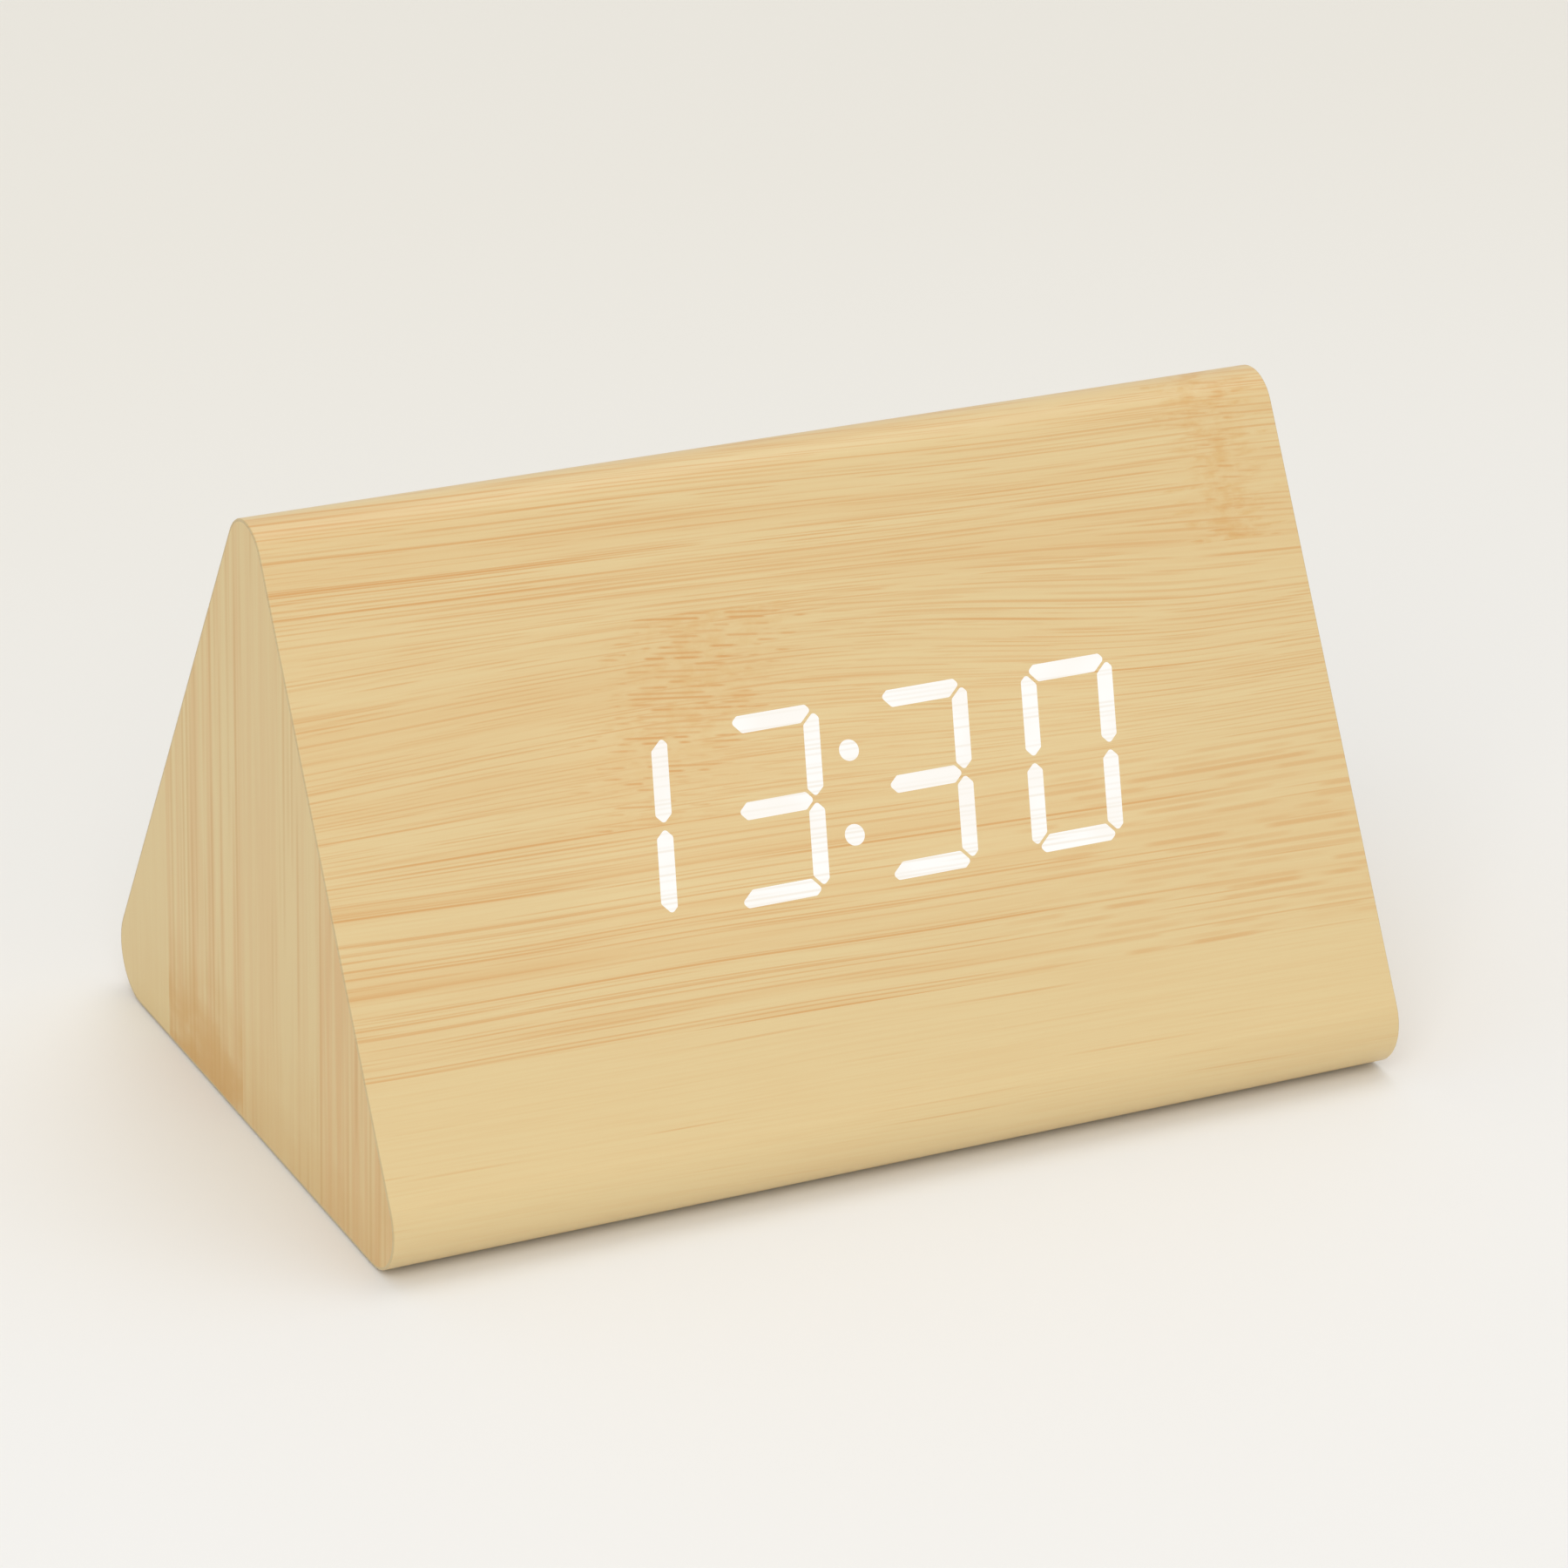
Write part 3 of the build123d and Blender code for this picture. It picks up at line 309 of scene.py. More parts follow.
# Knuckles of the bamboo, by their place along the clock
FIRST_KNUCKLE = Knuckle(middle=-22.0, spread=17.0, lean=0.6)
FIRST_LEAST = 0.4
FIRST_THICKENS = (46.0, 60.0)
FEATHERING = Knuckle(middle=0.0, spread=30.0, lean=0.6)
FEATHERING_SHARE = 0.60
SECOND_KNUCKLE = Knuckle(middle=65.0, spread=9.0, lean=0.0)
RAGGED = Pattern(sizes=(9.0, 0.8), seed=31.0)
RAGGED_REACH = 26.0

# How closely the film's long lines stand
GROUPS = Pattern(sizes=(300.0, 2.4), seed=12.0, detail=1.0, levels=(0.30, 0.62))
GROUP_LEAST = 0.45
GROUP_GAIN = 0.75
KNUCKLE_CLEARS = 0.75
LOWER_FADES = (-45.0, 20.0)
LOWER_FADE = 0.25
LOWER_RIGHT_FADE = 0.35
MIDDLE_RIGHT_FADE = 0.55

# Sets of lines on the film
WIDE_LINES = LineSet(lane=1.05, length=60.0, width=0.21, seed=3.0)
WIDE_SHARE = 0.95
WIDE_LOSS = 0.3
WIDE_FADES = (-45.0, -10.0)
THIN_LINES = LineSet(lane=0.58, length=40.0, width=0.15, seed=57.0, strength=0.75)
SMEARS = LineSet(lane=1.10, length=14.0, width=0.48, seed=23.0, density=0.90, strength=0.60)
DASHES = LineSet(lane=0.75, length=4.2, width=0.23, seed=91.0, density=0.86)
DASH_SLANT = 0.12
SECOND_DASHED = 0.35
DASHED_FULL = 0.5
FEATHERS = LineSet(lane=0.85, length=9.0, width=0.20, seed=71.0, density=0.85)
FEATHER_SLANT = 0.10
SHORT_LINES = LineSet(lane=0.80, length=22.0, width=0.20, seed=83.0, density=0.85, strength=0.62)
FINE_LINES = LineSet(lane=0.55, length=18.0, width=0.14, seed=37.0, density=0.80, strength=0.60)

# Colours of the film
FILM_PALE = (0.724, 0.563, 0.294)
FILM_WARM = (0.692, 0.478, 0.222)
FILM_LINE = (0.635, 0.345, 0.122)
FILM_KNUCKLE = (0.650, 0.380, 0.125)
FILM_SEAM = (0.480, 0.385, 0.200)
TONE = Pattern(sizes=(130.0, 4.0), detail=3.0, roughness=0.6, levels=(0.36, 0.70))
STRIP_TONES_APART = 5.1
TONE_LEAST = 0.10
TONE_GAIN = 0.62
KNUCKLE_WARMTH = 0.25
BLOTCHES = Pattern(sizes=(3.5, 2.2), seed=44.0, detail=3.0, roughness=0.6, levels=(0.35, 0.70))
FIRST_BLOTCH = 0.42
SECOND_BLOTCH = 0.62
HAIR = Pattern(sizes=(24.0, 0.45), seed=8.0, roughness=0.6, levels=(0.36, 0.72))
HAIR_SHARE = 0.14
SEAM = 0.16
SEAM_SHARE = 0.6
FILM_ROUGHNESS = 0.35
LINE_ROUGHNESS = 0.08

# Glow of the lamps through the film round the digits
DARK = (0.0, 0.0, 0.0)
GLOW = (0.022, 0.018, 0.011)
GLOW_X = 3.0
GLOW_ALONG = (52.0, 34.0)
GLOW_UP = (22.0, 9.0)


def slope_place(finish):
    """Place along the clock and place round its section, counted up the front."""
    x, y, z = finish.place()
    slope = LEAN_SIN * z - LEAN_COS * abs(y) - SLOPE_ZERO
    return x, SLOPE_RIDGE + y.sign() * (SLOPE_RIDGE - slope)


class FilmPlace:
    """A point on the film: along the clock, up the front, across the grain, and its bamboo strip."""

    def __init__(self, finish):
        self.finish = finish
        self.x, self.up = slope_place(finish)
        straight = self.up + self.x * GRAIN_DRIFT
        self.strip = ((straight - STRIP_EDGE) / STRIP_WIDTH).floor()
        self.lower = self.strip.equals(LOWER_STRIP)
        self.middle = self.strip.equals(MIDDLE_STRIP)
        self.upper = self.strip.equals(UPPER_STRIP)
        self.lower_right = self.lower * self.x.rise(*LOWER_RIGHT)
        self.middle_right = self.middle * self.x.rise(*MIDDLE_RIGHT)
        self.across = straight + self.bend()

    def bend(self):
        """How far the grain leaves its straight course, across the strips."""
        near = self.up.bell(BEND_UP, BEND_REACH)
        rising = (self.x - BEND_START).least(0.0) * BEND_SLOPE
        falling = self.x.rise(*FALL_SPAN) * FALL_DEPTH
        wave = self.finish.patches((self.x, self.up), WAVE) * WAVE_HEIGHT
        return wave + (rising + falling) * near + self.x * UPPER_SLOPE * self.upper

    def density(self):
        """How many lines the strip shows: set on the front, random elsewhere."""
        density = self.finish.chance(self.strip + OTHER_SEED) * OTHER_SPAN + OTHER_LEAST
        for index, value in STRIP_DENSITY.items():
            chosen = self.strip.equals(index)
            density = density * (1.0 - chosen) + chosen * value
        return density

    def share_of(self, knuckle):
        """How much of a bamboo knuckle lies here; its middle leans along the clock."""
        ragged = (self.finish.patches((self.x, self.up), RAGGED) - 0.5) * RAGGED_REACH
        upright = self.x + ragged - (self.up - BEND_UP) * knuckle.lean
        return upright.bell(knuckle.middle, knuckle.spread)


def film_knuckles(place):
    """The first knuckle and its feathering on the middle strip, and the second on the upper strip."""
    thickness = FIRST_LEAST + (1.0 - FIRST_LEAST) * place.up.rise(*FIRST_THICKENS)
    first = place.share_of(FIRST_KNUCKLE) * place.middle * thickness
    feathering = place.share_of(FEATHERING) * place.middle * FEATHERING_SHARE
    second = place.share_of(SECOND_KNUCKLE) * place.upper
    return first, feathering, second


def film_crowd(place, knuckle):
    """How closely the long lines stand at a place."""
    group = place.finish.patches((place.x, place.across), GROUPS)
    crowd = place.density() * (GROUP_LEAST + GROUP_GAIN * group) * (1.0 - KNUCKLE_CLEARS * knuckle)
    fading = place.lower * place.x.rise(*LOWER_FADES) * LOWER_FADE
    fading = fading + place.lower_right * LOWER_RIGHT_FADE + place.middle_right * MIDDLE_RIGHT_FADE
    return crowd * (1.0 - fading)


def film_lines(place, crowd, first, feathering, second):
    """Every set of printed lines, the strongest at each place."""
    finish, x, up, across = place.finish, place.x, place.up, place.across
    bold = WIDE_SHARE - WIDE_LOSS * place.upper * x.rise(*WIDE_FADES)
    dashed = first.most(second * SECOND_DASHED).rise(0.0, DASHED_FULL)
    line_sets = (
        fibres(finish, x, across, WIDE_LINES, crowd) * bold,
        fibres(finish, x, across, THIN_LINES, crowd),
        fibres(finish, x, across, SMEARS) * place.lower_right,
        fibres(finish, x, up + x * DASH_SLANT, DASHES) * dashed,
        fibres(finish, x, up + x * FEATHER_SLANT, FEATHERS) * feathering,
        fibres(finish, x, across, SHORT_LINES) * place.middle_right,
        fibres(finish, x, across, FINE_LINES) * (place.upper + place.middle),
    )
    return reduce(Number.most, line_sets)


def film_colour(place, crowd, lines, first, second):
    """Pale and warm bamboo with its knuckles and lines, and a thin dark seam at both ends."""
    finish, x = place.finish, place.x
    tone = finish.patches((x, place.across), TONE, place.strip * STRIP_TONES_APART)
    blotches = finish.patches((x, place.up), BLOTCHES)
    hair = finish.patches((x, place.across), HAIR) * HAIR_SHARE
    warmth = tone * (TONE_LEAST + TONE_GAIN * crowd) + first.most(second) * KNUCKLE_WARMTH
    colour = finish.blend(FILM_PALE, FILM_WARM, warmth)
    colour = finish.blend(colour, FILM_KNUCKLE, blotches * (first * FIRST_BLOTCH + second * SECOND_BLOTCH))
    colour = finish.blend(colour, FILM_LINE, lines.most(hair))
    seam = abs(x).rise(HALF_LENGTH - SEAM, HALF_LENGTH - SEAM / 2)
    return finish.blend(colour, FILM_SEAM, seam * SEAM_SHARE)


def wood_film():
    """Printed bamboo strips along the clock, with fine lines and knuckles on the front."""
    finish = Finish("wood_film", Specular_IOR_Level=0.42, Emission_Strength=1.0)
    place = FilmPlace(finish)
    first, feathering, second = film_knuckles(place)
    crowd = film_crowd(place, first.most(second))
    lines = film_lines(place, crowd, first, feathering, second)
    finish.shade("Base Color", film_colour(place, crowd, lines, first, second))
    finish.shade("Roughness", FILM_ROUGHNESS + lines * LINE_ROUGHNESS)
    glow = abs(place.x - GLOW_X).rise(*GLOW_ALONG) * abs(place.up - DIGITS_ABOVE_EDGE).rise(*GLOW_UP)
    finish.shade("Emission Color", finish.blend(DARK, GLOW, glow))
    return finish.material


# Upright bamboo strips on the ends, counted from the front to the rear
END_STRIP_EDGE = 2.8
END_DENSITY = {-2: 0.90, -1: 0.45, 0: 0.85, 1: 0.10}
END_WARMTH = {-2: 0.30, -1: 0.08, 0: 0.0, 1: 0.0}
END_WARMTH_GAIN = 0.9
END_SIDES_APART = 11.0
END_BROAD = Pattern(sizes=(2.2, 80.0), roughness=0.6, levels=(0.38, 0.66))
END_LINES = LineSet(lane=1.5, length=50.0, width=0.55, seed=17.0)
END_LINE_SHARE = 0.55
END_HAIR = Pattern(sizes=(0.5, 30.0), seed=3.0, roughness=0.7, levels=(0.42, 0.78))
END_HAIR_SHARE = 0.12
END_PALE = (0.722, 0.566, 0.288)
END_WARM = (0.685, 0.460, 0.212)
END_LINE = (0.610, 0.378, 0.155)
END_KNUCKLE = (0.615, 0.362, 0.114)
END_ROUGHNESS = 0.46
END_LINE_ROUGHNESS = 0.06

# Knuckle low on the ends, strongest on one strip
END_LOW = {-2: 0.25, -1: 0.25, 0: 0.85, 1: 0.10}
END_LOW_HEIGHT = (29.0, 11.0)
END_RAGGED = Pattern(sizes=(3.0, 30.0), seed=5.0)
END_RAGGED_REACH = 16.0
END_PATCHES = Pattern(sizes=(9.0, 7.0), detail=3.0, levels=(0.15, 0.60))


def by_strip(strip, values):
    """The value set for the strip that a place lies on, and 0 on any other strip."""
    return sum(strip.equals(index) * value for index, value in values.items())


def end_film():
    """Printed bamboo strips that stand upright on an end, softer than along the clock."""
    finish = Finish("end_film", Specular_IOR_Level=0.40)
    x, y, z = finish.place()
    strip = ((y - END_STRIP_EDGE) / STRIP_WIDTH).floor()
    side = x.sign() * END_SIDES_APART
    density = by_strip(strip, END_DENSITY)
    broad = finish.patches((y, z), END_BROAD, side)
    lines = fibres(finish, z, y, END_LINES, density)
    hair = finish.patches((y, z), END_HAIR, side)
    ragged = finish.patches((y, z), END_RAGGED, side) * END_RAGGED_REACH
    low = (z + ragged).rise(*END_LOW_HEIGHT) * by_strip(strip, END_LOW)
    warmth = broad * density * END_WARMTH_GAIN + by_strip(strip, END_WARMTH)
    colour = finish.blend(END_PALE, END_WARM, warmth)
    colour = finish.blend(colour, END_LINE, (lines * END_LINE_SHARE).most(hair * END_HAIR_SHARE))
    colour = finish.blend(colour, END_KNUCKLE, low * finish.patches((y, z), END_PATCHES, side))
    finish.shade("Base Color", colour)
    finish.shade("Roughness", END_ROUGHNESS + lines * END_LINE_ROUGHNESS)
    return finish.material


# Lit strokes of the digits
LIT_BASE = (0.02, 0.02, 0.018, 1.0)
LIT_WHITE = (0.958, 0.945, 0.910)
LIT_VEIL = (0.946, 0.908, 0.852)
LIT_LINE = (0.890, 0.830, 0.740)
LIT_LINES = LineSet(lane=0.62, length=30.0, width=0.22, seed=57.0, density=0.9)
VEILS = Pattern(sizes=(13.0, 9.0), seed=60.0, detail=1.0, levels=(0.42, 0.62))


def lit_film():
    """Film with the lamps behind it: white light with a trace of the printed grain."""
    finish = Finish("lit_film", Roughness=0.5, Emission_Strength=1.0)
    x, up = slope_place(finish)
    lines = fibres(finish, x, up + x * GRAIN_DRIFT, LIT_LINES)
    colour = finish.blend(LIT_WHITE, LIT_VEIL, finish.patches((x, up), VEILS))
    finish.shade("Base Color", LIT_BASE)
    finish.shade("Emission Color", finish.blend(colour, LIT_LINE, lines))
    return finish.material


# Moulded plastics: colour, roughness, and size and depth of the sparked texture
PLASTICS = {
    "pad_rubber": Plastic(colour=(0.030, 0.030, 0.031), roughness=0.75, grain=0.5, depth=0.06 * MM),
    "frame_white": Plastic(colour=(0.74, 0.74, 0.72), roughness=0.5, grain=0.4, depth=0.03 * MM),
    "guide_milky": Plastic(colour=(0.82, 0.83, 0.82), roughness=0.35, grain=0.8, depth=0.02 * MM),
    "lamp_chip": Plastic(colour=(0.85, 0.72, 0.25), roughness=0.35, grain=0.3, depth=0.02 * MM),
    "chip_black": Plastic(colour=(0.017, 0.017, 0.019), roughness=0.55, grain=0.15, depth=0.03 * MM),
    "socket_white": Plastic(colour=(0.70, 0.67, 0.60), roughness=0.45, grain=0.4, depth=0.03 * MM),
    "panel_black": Plastic(colour=(0.020, 0.020, 0.021), roughness=0.52, grain=0.22, depth=0.06 * MM),
    "button_black": Plastic(colour=(0.034, 0.034, 0.036), roughness=0.40, grain=0.35, depth=0.02 * MM),
    "lead_red": Plastic(colour=(0.50, 0.02, 0.02), roughness=0.45, grain=0.4, depth=0.02 * MM),
    "lead_black": Plastic(colour=(0.015, 0.015, 0.015), roughness=0.45, grain=0.4, depth=0.02 * MM),
}
PLASTIC_CLOUDS = Pattern(sizes=(18.0, 18.0, 18.0))
PLASTIC_GAIN = 1.35
PLASTIC_LIFT = 0.004
PIT_SHARE = 0.5
PIT_ROUGHNESS = 0.10
PIT_BUMP = 0.25


def moulded_plastic(name, plastic):
    """Moulded plastic with a fine sparked texture."""
    finish = Finish(name)
    places = finish.place()
    pits = finish.patches(places, Pattern(sizes=(plastic.grain,) * 3, detail=3.0, roughness=0.6))
    clouds = finish.patches(places, PLASTIC_CLOUDS)
    lighter = tuple(min(1.0, channel * PLASTIC_GAIN + PLASTIC_LIFT) for channel in plastic.colour)
    share = pits * PIT_SHARE + clouds * (1.0 - PIT_SHARE)
    finish.shade("Base Color", finish.blend(plastic.colour, lighter, share))
    finish.shade("Roughness", plastic.roughness - PIT_ROUGHNESS / 2 + pits * PIT_ROUGHNESS)
    finish.bump(pits, PIT_BUMP, plastic.depth)
    return finish.material


# Bare and plated metals: colour, least roughness and width of the drawing marks
METALS = {
    "screw_steel": Metal(colour=(0.62, 0.62, 0.63), roughness=0.28, grain=0.15),
    "contact_nickel": Metal(colour=(0.70, 0.67, 0.62), roughness=0.25, grain=0.2),
    "pin_brass": Metal(colour=(0.80, 0.58, 0.24), roughness=0.25, grain=0.1),
    "can_aluminium": Metal(colour=(0.72, 0.73, 0.74), roughness=0.35, grain=0.2),
}
MARK_LENGTH = 12.0
MARK_LEVELS = (0.25, 0.7)
MARK_DARKER = 0.72
MARK_ROUGHNESS = 0.12


def plated_metal(name, metal):
    """Bare or plated metal with fine drawing marks along X."""
    finish = Finish(name, Metallic=1.0)
    sizes = (metal.grain * MARK_LENGTH, metal.grain, metal.grain)
    marks = finish.patches(finish.place(), Pattern(sizes=sizes))
    darker = tuple(channel * MARK_DARKER for channel in metal.colour)
    finish.shade("Base Color", finish.blend(darker, metal.colour, marks.rise(*MARK_LEVELS)))
    finish.shade("Roughness", metal.roughness + marks * MARK_ROUGHNESS)
    return finish.material


# The row of cells behind the door: along the clock, up the rear slope and out of it
FIRST_CELL = node_middle("battery_cell_1") / MM
CELL_PITCH = (node_middle("battery_cell_2") / MM - FIRST_CELL).dot(REAR_UP)
CELL_X = FIRST_CELL.x
CELL_UP = FIRST_CELL.dot(REAR_UP) - CELL_PITCH / 2
CELL_OUT = FIRST_CELL.dot(REAR_OUT)
CELL_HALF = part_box("battery_cell_1")[1][0] / MM - CELL_X

# The cells' sleeves: how far the bare ends and the band reach, their soft edges and the colours
CELL_BARE = 4.3
CELL_BARE_DEPTH = 1.3
CELL_BARE_EDGE = 0.1
CELL_BAND = 13.0
CELL_BAND_EDGE = 0.2
CELL_BAND_SHARE = 0.9
CELL_BODY = (0.030, 0.085, 0.062)
CELL_STRIPE = (0.52, 0.54, 0.52)
CELL_METAL = (0.70, 0.69, 0.66)
CELL_CLOUDS = Pattern(sizes=(2.0, 6.0, 6.0))
CELL_CLOUD_SHARE = 0.05
CELL_ROUGHNESS = 0.24
CELL_METAL_ROUGHNESS = 0.08


def cell_sleeve():
    """Shrink sleeve with a pale band at a cell's positive end, and bare metal on both ends."""
    finish = Finish("cell_sleeve")
    x, y, z = finish.place()
    up = (y * REAR_UP.y + z * REAR_UP.z - CELL_UP) / CELL_PITCH
    out = y * REAR_OUT.y + z * REAR_OUT.z - CELL_OUT
    row = up.floor()
    beside = (up - row - 0.5) * CELL_PITCH
    # Every other cell lies the other way round
    along = (x - CELL_X) * (1.0 - 2.0 * row.maths("MODULO", 2.0))
    reach = (beside * beside + out * out).maths("SQRT")
    bare_from = CELL_HALF - CELL_BARE_DEPTH
    bare = abs(along).rise(bare_from, bare_from + CELL_BARE_EDGE)
    bare = bare * reach.rise(CELL_BARE + CELL_BARE_EDGE, CELL_BARE)
    band = along.rise(CELL_BAND, CELL_BAND + CELL_BAND_EDGE)
    clouds = finish.patches((x, y, z), CELL_CLOUDS) * CELL_CLOUD_SHARE
    colour = finish.blend(CELL_BODY, CELL_STRIPE, band * CELL_BAND_SHARE + clouds)
    finish.shade("Base Color", finish.blend(colour, CELL_METAL, bare))
    finish.shade("Metallic", bare)
    finish.shade("Roughness", CELL_ROUGHNESS + clouds + bare * CELL_METAL_ROUGHNESS)
    return finish.material


# Boards and cable inside the case
FELT = Pattern(sizes=(0.5, 0.5, 0.5), detail=4.0, roughness=0.65)
FELT_LEVELS = (0.3, 0.7)
FELT_DARK = (0.30, 0.19, 0.10)
FELT_PALE = (0.52, 0.37, 0.22)
FELT_BUMP = 0.3
FELT_DEPTH = 0.1 * MM
TRACKS = Pattern(sizes=(3.0, 1.2, 1.2), detail=0.0, levels=(0.50, 0.53))
MASK_DARK = (0.010, 0.085, 0.030)
MASK_PALE = (0.025, 0.180, 0.065)
TRACK_BUMP = 0.2
TRACK_DEPTH = 0.05 * MM
WIRE_PITCH = 1.27
WIRE_GROOVE = (0.7, 1.0)
WIRE_PALE = (0.42, 0.43, 0.45)
# Painted shade: colour that darkens the grooves between the wires
WIRE_GROOVE_SHADE = (0.24, 0.25, 0.27)
WIRE_BUMP = 0.5
WIRE_DEPTH = 0.2 * MM


def fibreboard():
    """Raw fibreboard: felted brown fibres."""
    finish = Finish("fibreboard", Roughness=0.85)
    felt = finish.patches(finish.place(), FELT)
    finish.shade("Base Color", finish.blend(FELT_DARK, FELT_PALE, felt.rise(*FELT_LEVELS)))
    finish.bump(felt, FELT_BUMP, FELT_DEPTH)
    return finish.material


def circuit_board():
    """Green solder mask over copper tracks."""
    finish = Finish("circuit_board", Roughness=0.35, Specular_IOR_Level=0.5)
    tracks = finish.patches(finish.place(), TRACKS)
    finish.shade("Base Color", finish.blend(MASK_DARK, MASK_PALE, tracks))
    finish.bump(tracks, TRACK_BUMP, TRACK_DEPTH)
    return finish.material


def ribbon_wire():
    """Flat cable: grey insulation with a groove between its wires, each groove darkened by painted shade."""
    finish = Finish("ribbon_wire", Roughness=0.55)
    wires = finish.place()[0] / WIRE_PITCH
    aside = abs(wires - wires.floor() - 0.5) * 2.0
    # Painted shade in each groove between the wires
    finish.shade("Base Color", finish.blend(WIRE_PALE, WIRE_GROOVE_SHADE, aside.rise(*WIRE_GROOVE)))
    finish.bump(1.0 - aside, WIRE_BUMP, WIRE_DEPTH)
    return finish.material


def slot_finishes():
    """One finish for each material slot of the clock."""
    finishes = {
        "wood_film": wood_film(),
        "end_film": end_film(),
        "lit_white": lit_film(),
        "fibreboard": fibreboard(),
        "circuit_green": circuit_board(),
        "ribbon_grey": ribbon_wire(),
        "cell_sleeve": cell_sleeve(),
    }
    for name, plastic in PLASTICS.items():
        finishes[name] = moulded_plastic(name, plastic)
    for name, metal in METALS.items():
        finishes[name] = plated_metal(name, metal)
    return finishes


SLOT_FINISHES = slot_finishes()


def dress_nodes():
    """Gives every piece of the clock the finish of its slot."""
    for row in frame["record"]["subparts"]:
        mesh = NODES[row["node"]].data
        mesh.materials.clear()
        mesh.materials.append(SLOT_FINISHES[row["material_slot"]])


# Coil springs of the battery contacts
SPRING_WIRE = 0.27 * MM
SPRING_DEPTH = 2.2 * MM
SPRING_SIZES = {
    "Foot radius": 3.2 * MM,
    "Top radius": 2.0 * MM,
    "Height": SPRING_DEPTH - 2 * SPRING_WIRE,
    "Turns": 3.2,
    "Wire radius": SPRING_WIRE,
}
COIL_STEPS = 28
WIRE_SIDES = 10
LEFT_END = -1
RIGHT_END = 1


def tree_node(tree, kind, inputs):
    """Adds a geometry node with the values or links of its sockets, and gives its first output."""
    made = tree.nodes.new(kind)
    for key, value in inputs.items():
        if isinstance(value, bpy.types.NodeSocket):
            tree.links.new(value, made.inputs[key])
        else:
            made.inputs[key].default_value = value
    return made.outputs[0]


def spring_tree():
    """Tapered coil of round wire on each point of a mesh, wound along the direction that Turn gives."""
    tree = bpy.data.node_groups.new("coil_springs", "GeometryNodeTree")
    interface = tree.interface
    interface.new_socket("Geometry", in_out="INPUT", socket_type="NodeSocketGeometry")
    interface.new_socket("Turn", in_out="INPUT", socket_type="NodeSocketRotation")
    for name in SPRING_SIZES:
        interface.new_socket(name, in_out="INPUT", socket_type="NodeSocketFloat")
    interface.new_socket("Geometry", in_out="OUTPUT", socket_type="NodeSocketGeometry")
    given = tree.nodes.new("NodeGroupInput").outputs
    coil = tree_node(tree, "GeometryNodeCurveSpiral", {
        "Resolution": COIL_STEPS,
        "Rotations": given["Turns"],
        "Start Radius": given["Foot radius"],
        "End Radius": given["Top radius"],
        "Height": given["Height"],
    })
    section = tree_node(tree, "GeometryNodeCurvePrimitiveCircle", {
        "Resolution": WIRE_SIDES,
        "Radius": given["Wire radius"],
    })
    wire = tree_node(tree, "GeometryNodeCurveToMesh", {
        "Curve": coil,
        "Profile Curve": section,
        "Fill Caps": True,
    })
    smooth = tree_node(tree, "GeometryNodeSetShadeSmooth", {"Geometry": wire})
    placed = tree_node(tree, "GeometryNodeInstanceOnPoints", {
        "Points": given["Geometry"],
        "Instance": smooth,
        "Rotation": given["Turn"],
    })
    plain = tree_node(tree, "GeometryNodeRealizeInstances", {"Geometry": placed})
    dressed = tree_node(tree, "GeometryNodeSetMaterial", {
        "Geometry": plain,
        "Material": SLOT_FINISHES["contact_nickel"],
    })
    tree.links.new(dressed, tree.nodes.new("NodeGroupOutput").inputs["Geometry"])
    return tree


def spring_feet(cells, side):
    """Middle of each spring's foot, at the flat ends of some cells; side is the ends' X direction."""
    feet = []
    for cell in cells:
        low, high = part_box(cell)
        end = low[0] if side == LEFT_END else high[0]
        middle = node_middle(cell)
        feet.append((end + side * (SPRING_DEPTH - SPRING_WIRE), middle.y, middle.z))
    return feet


def add_springs(name, tree, cells, side):
    """Coil springs over the contacts' cones at the flat ends of some cells."""
    mesh = bpy.data.meshes.new(name)
    mesh.from_pydata(spring_feet(cells, side), [], [])
    springs = bpy.data.objects.new(name, mesh)
    bpy.context.scene.collection.objects.link(springs)
    coiling = springs.modifiers.new("coiling", "NODES")
    coiling.node_group = tree
    values = dict(SPRING_SIZES, Turn=(0.0, -side * math.pi / 2, 0.0))
    for socket in tree.interface.items_tree:
        if socket.in_out == "INPUT" and socket.name in values:
            coiling[socket.identifier] = values[socket.name]
    ready = springs.evaluated_get(bpy.context.evaluated_depsgraph_get())
    coiled = bpy.data.meshes.new_from_object(ready)
    springs.modifiers.remove(coiling)
    springs.data = coiled
    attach(springs, "case")


# Floor, light and camera

def add_floor():
    """Pale sheet under the clock, with painted shade and warm light that make it darker and warmer towards the
    back.
    """
    half = FLOOR_SIDE / 2
    mesh = bpy.data.meshes.new("floor")
    corners = [(-half, -half, 0), (half, -half, 0), (half, half, 0), (-half, half, 0)]
    mesh.from_pydata(corners, [], [(0, 1, 2, 3)])
    floor = bpy.data.objects.new("floor", mesh)
    bpy.context.scene.collection.objects.link(floor)
    finish = Finish("floor_sheet", Roughness=0.6, Specular_IOR_Level=0.3)
    x, y = finish.place()[:2]
    clouds = finish.patches((x, y), FLOOR_CLOUDS) * FLOOR_CLOUD_SHARE
    # Painted shade: the sheet grows darker and warmer towards the back
    painted_shade = y.rise(FLOOR_SHADE_START_Y, FLOOR_SHADE_FULL_Y) + clouds
    finish.shade("Base Color", finish.blend(FLOOR_NEAR, FLOOR_SHADED, painted_shade))
    mesh.materials.append(finish.material)


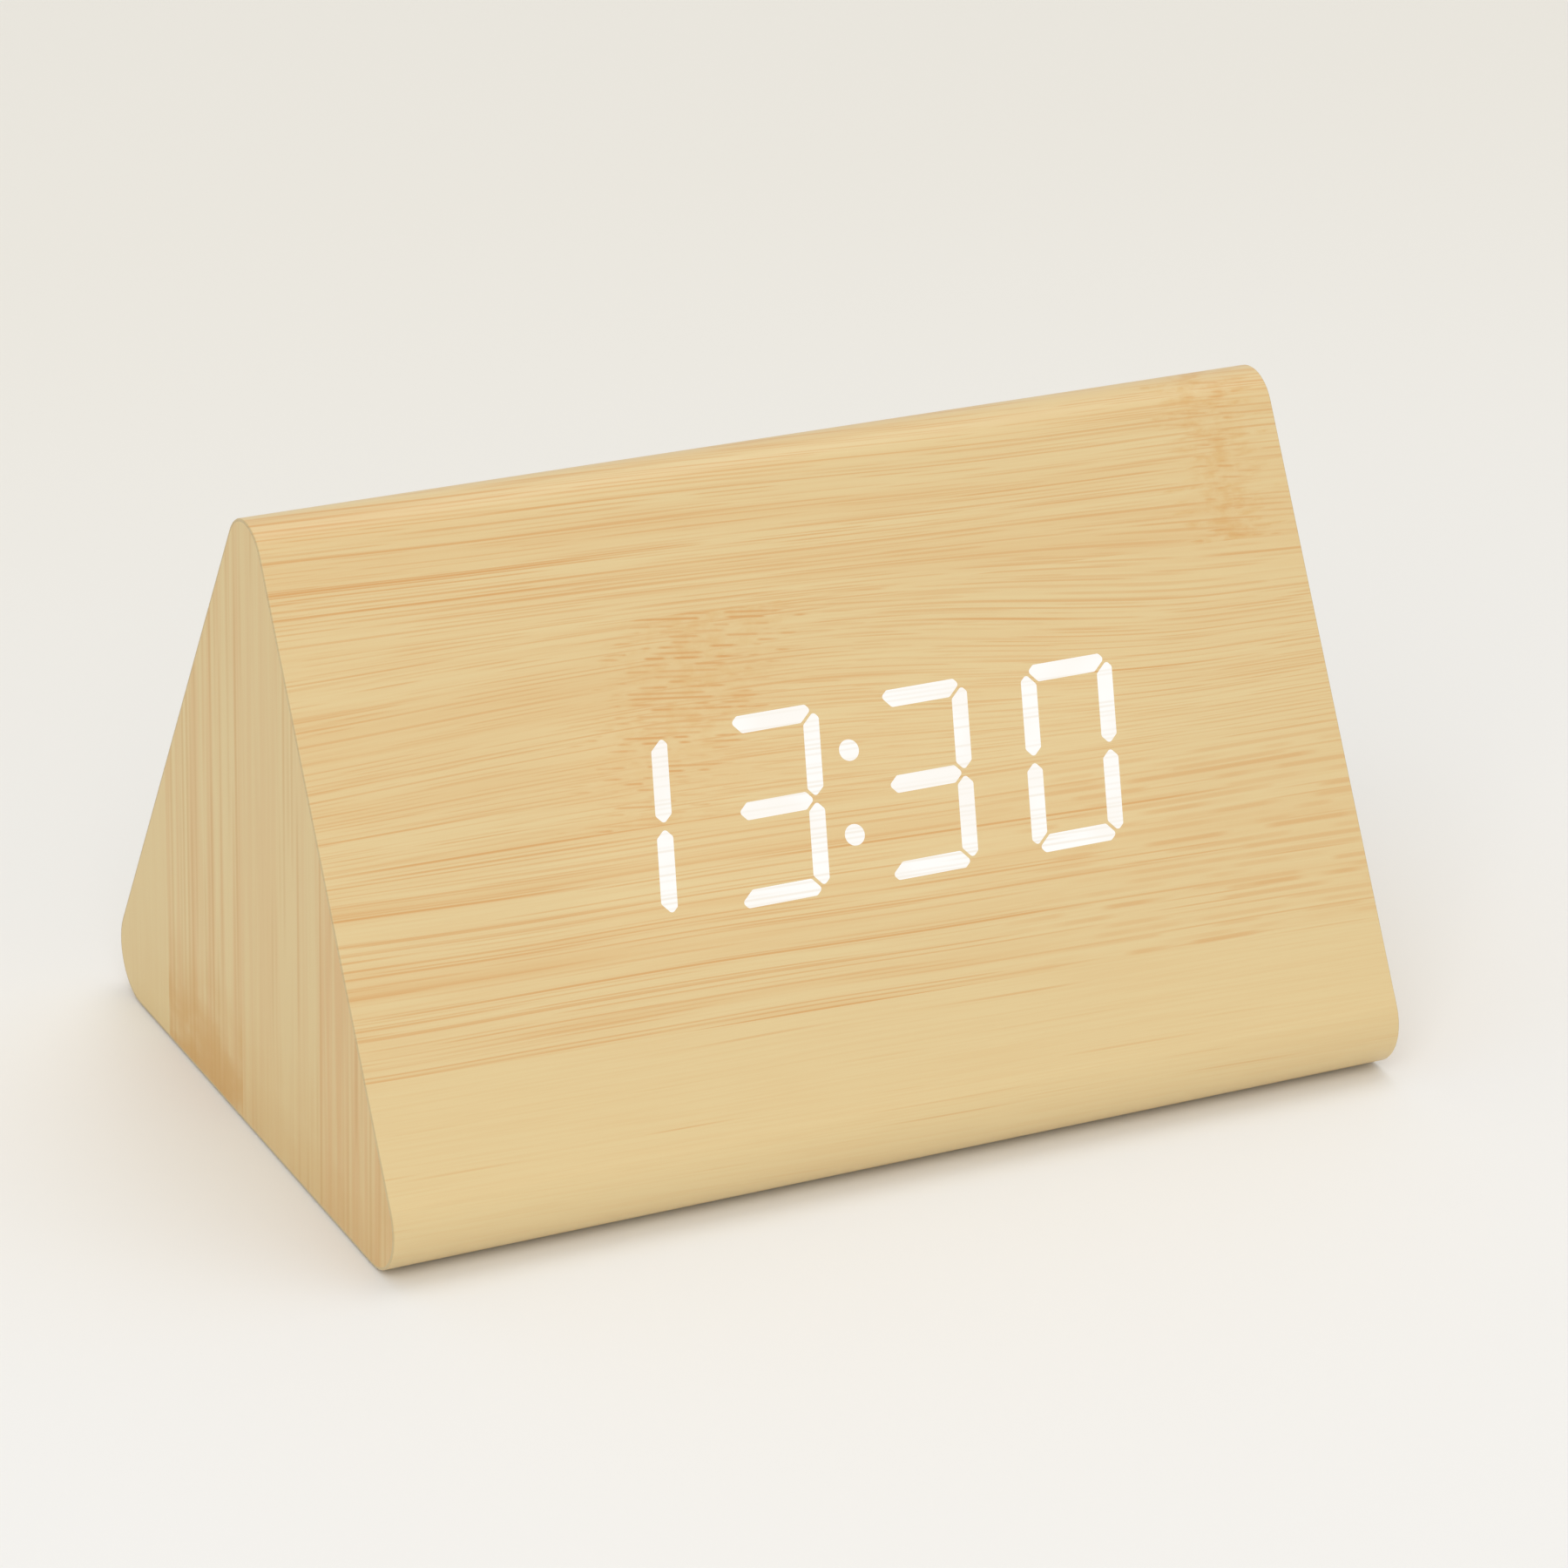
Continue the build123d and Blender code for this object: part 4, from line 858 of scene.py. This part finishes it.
def add_soft_lamp(name, lamp):
    """Square soft lamp aimed at the clock's foot."""
    light = bpy.data.lights.new(name, "AREA")
    light.shape = "SQUARE"
    light.size = lamp.size
    light.energy = lamp.power
    light.color = LAMP_COLOUR
    holder = bpy.data.objects.new(name, light)
    bpy.context.scene.collection.objects.link(holder)
    turn = (-Vector(lamp.place)).to_track_quat("-Z", "Y").to_matrix().to_4x4()
    holder.matrix_world = Matrix.Translation(lamp.place) @ turn


def add_world():
    """Even pale light from all round."""
    world = bpy.data.worlds.new("studio")
    world.use_nodes = True
    background = world.node_tree.nodes["Background"]
    background.inputs["Color"].default_value = (*WORLD_COLOUR, 1.0)
    background.inputs["Strength"].default_value = WORLD_STRENGTH
    bpy.context.scene.world = world


def add_camera():
    """Camera at the photograph's place, with its slight roll."""
    azimuth, elevation, roll = (math.radians(v) for v in (VIEW_AZIMUTH, VIEW_ELEVATION, VIEW_ROLL))
    away = Vector((math.sin(azimuth), -math.cos(azimuth), 0))
    back = away * math.cos(elevation) + Vector((0, 0, math.sin(elevation)))
    right = Vector((math.cos(azimuth), math.sin(azimuth), 0))
    up = back.cross(right)
    target = right * VIEW_ASIDE - up * VIEW_BELOW + Vector((0, 0, VIEW_HEIGHT))
    rolled_right = right * math.cos(roll) + up * math.sin(roll)
    rolled_up = up * math.cos(roll) - right * math.sin(roll)
    data = bpy.data.cameras.new("view")
    data.lens = VIEW_LENS
    data.sensor_width = VIEW_SENSOR
    data.clip_end = VIEW_REACH
    camera = bpy.data.objects.new("view", data)
    bpy.context.scene.collection.objects.link(camera)
    turn = Matrix((rolled_right, rolled_up, back)).transposed().to_4x4()
    camera.matrix_world = Matrix.Translation(target + back * VIEW_DISTANCE) @ turn
    bpy.context.scene.camera = camera


dress_nodes()
coil_springs = spring_tree()
add_springs("left_springs", coil_springs, ("battery_cell_1", "battery_cell_3"), LEFT_END)
add_springs("right_springs", coil_springs, ("battery_cell_2", "battery_cell_4"), RIGHT_END)
add_floor()
add_world()
for lamp_name, lamp in LAMPS.items():
    add_soft_lamp(lamp_name, lamp)
add_camera()
bpy.context.scene.view_settings.view_transform = "Standard"
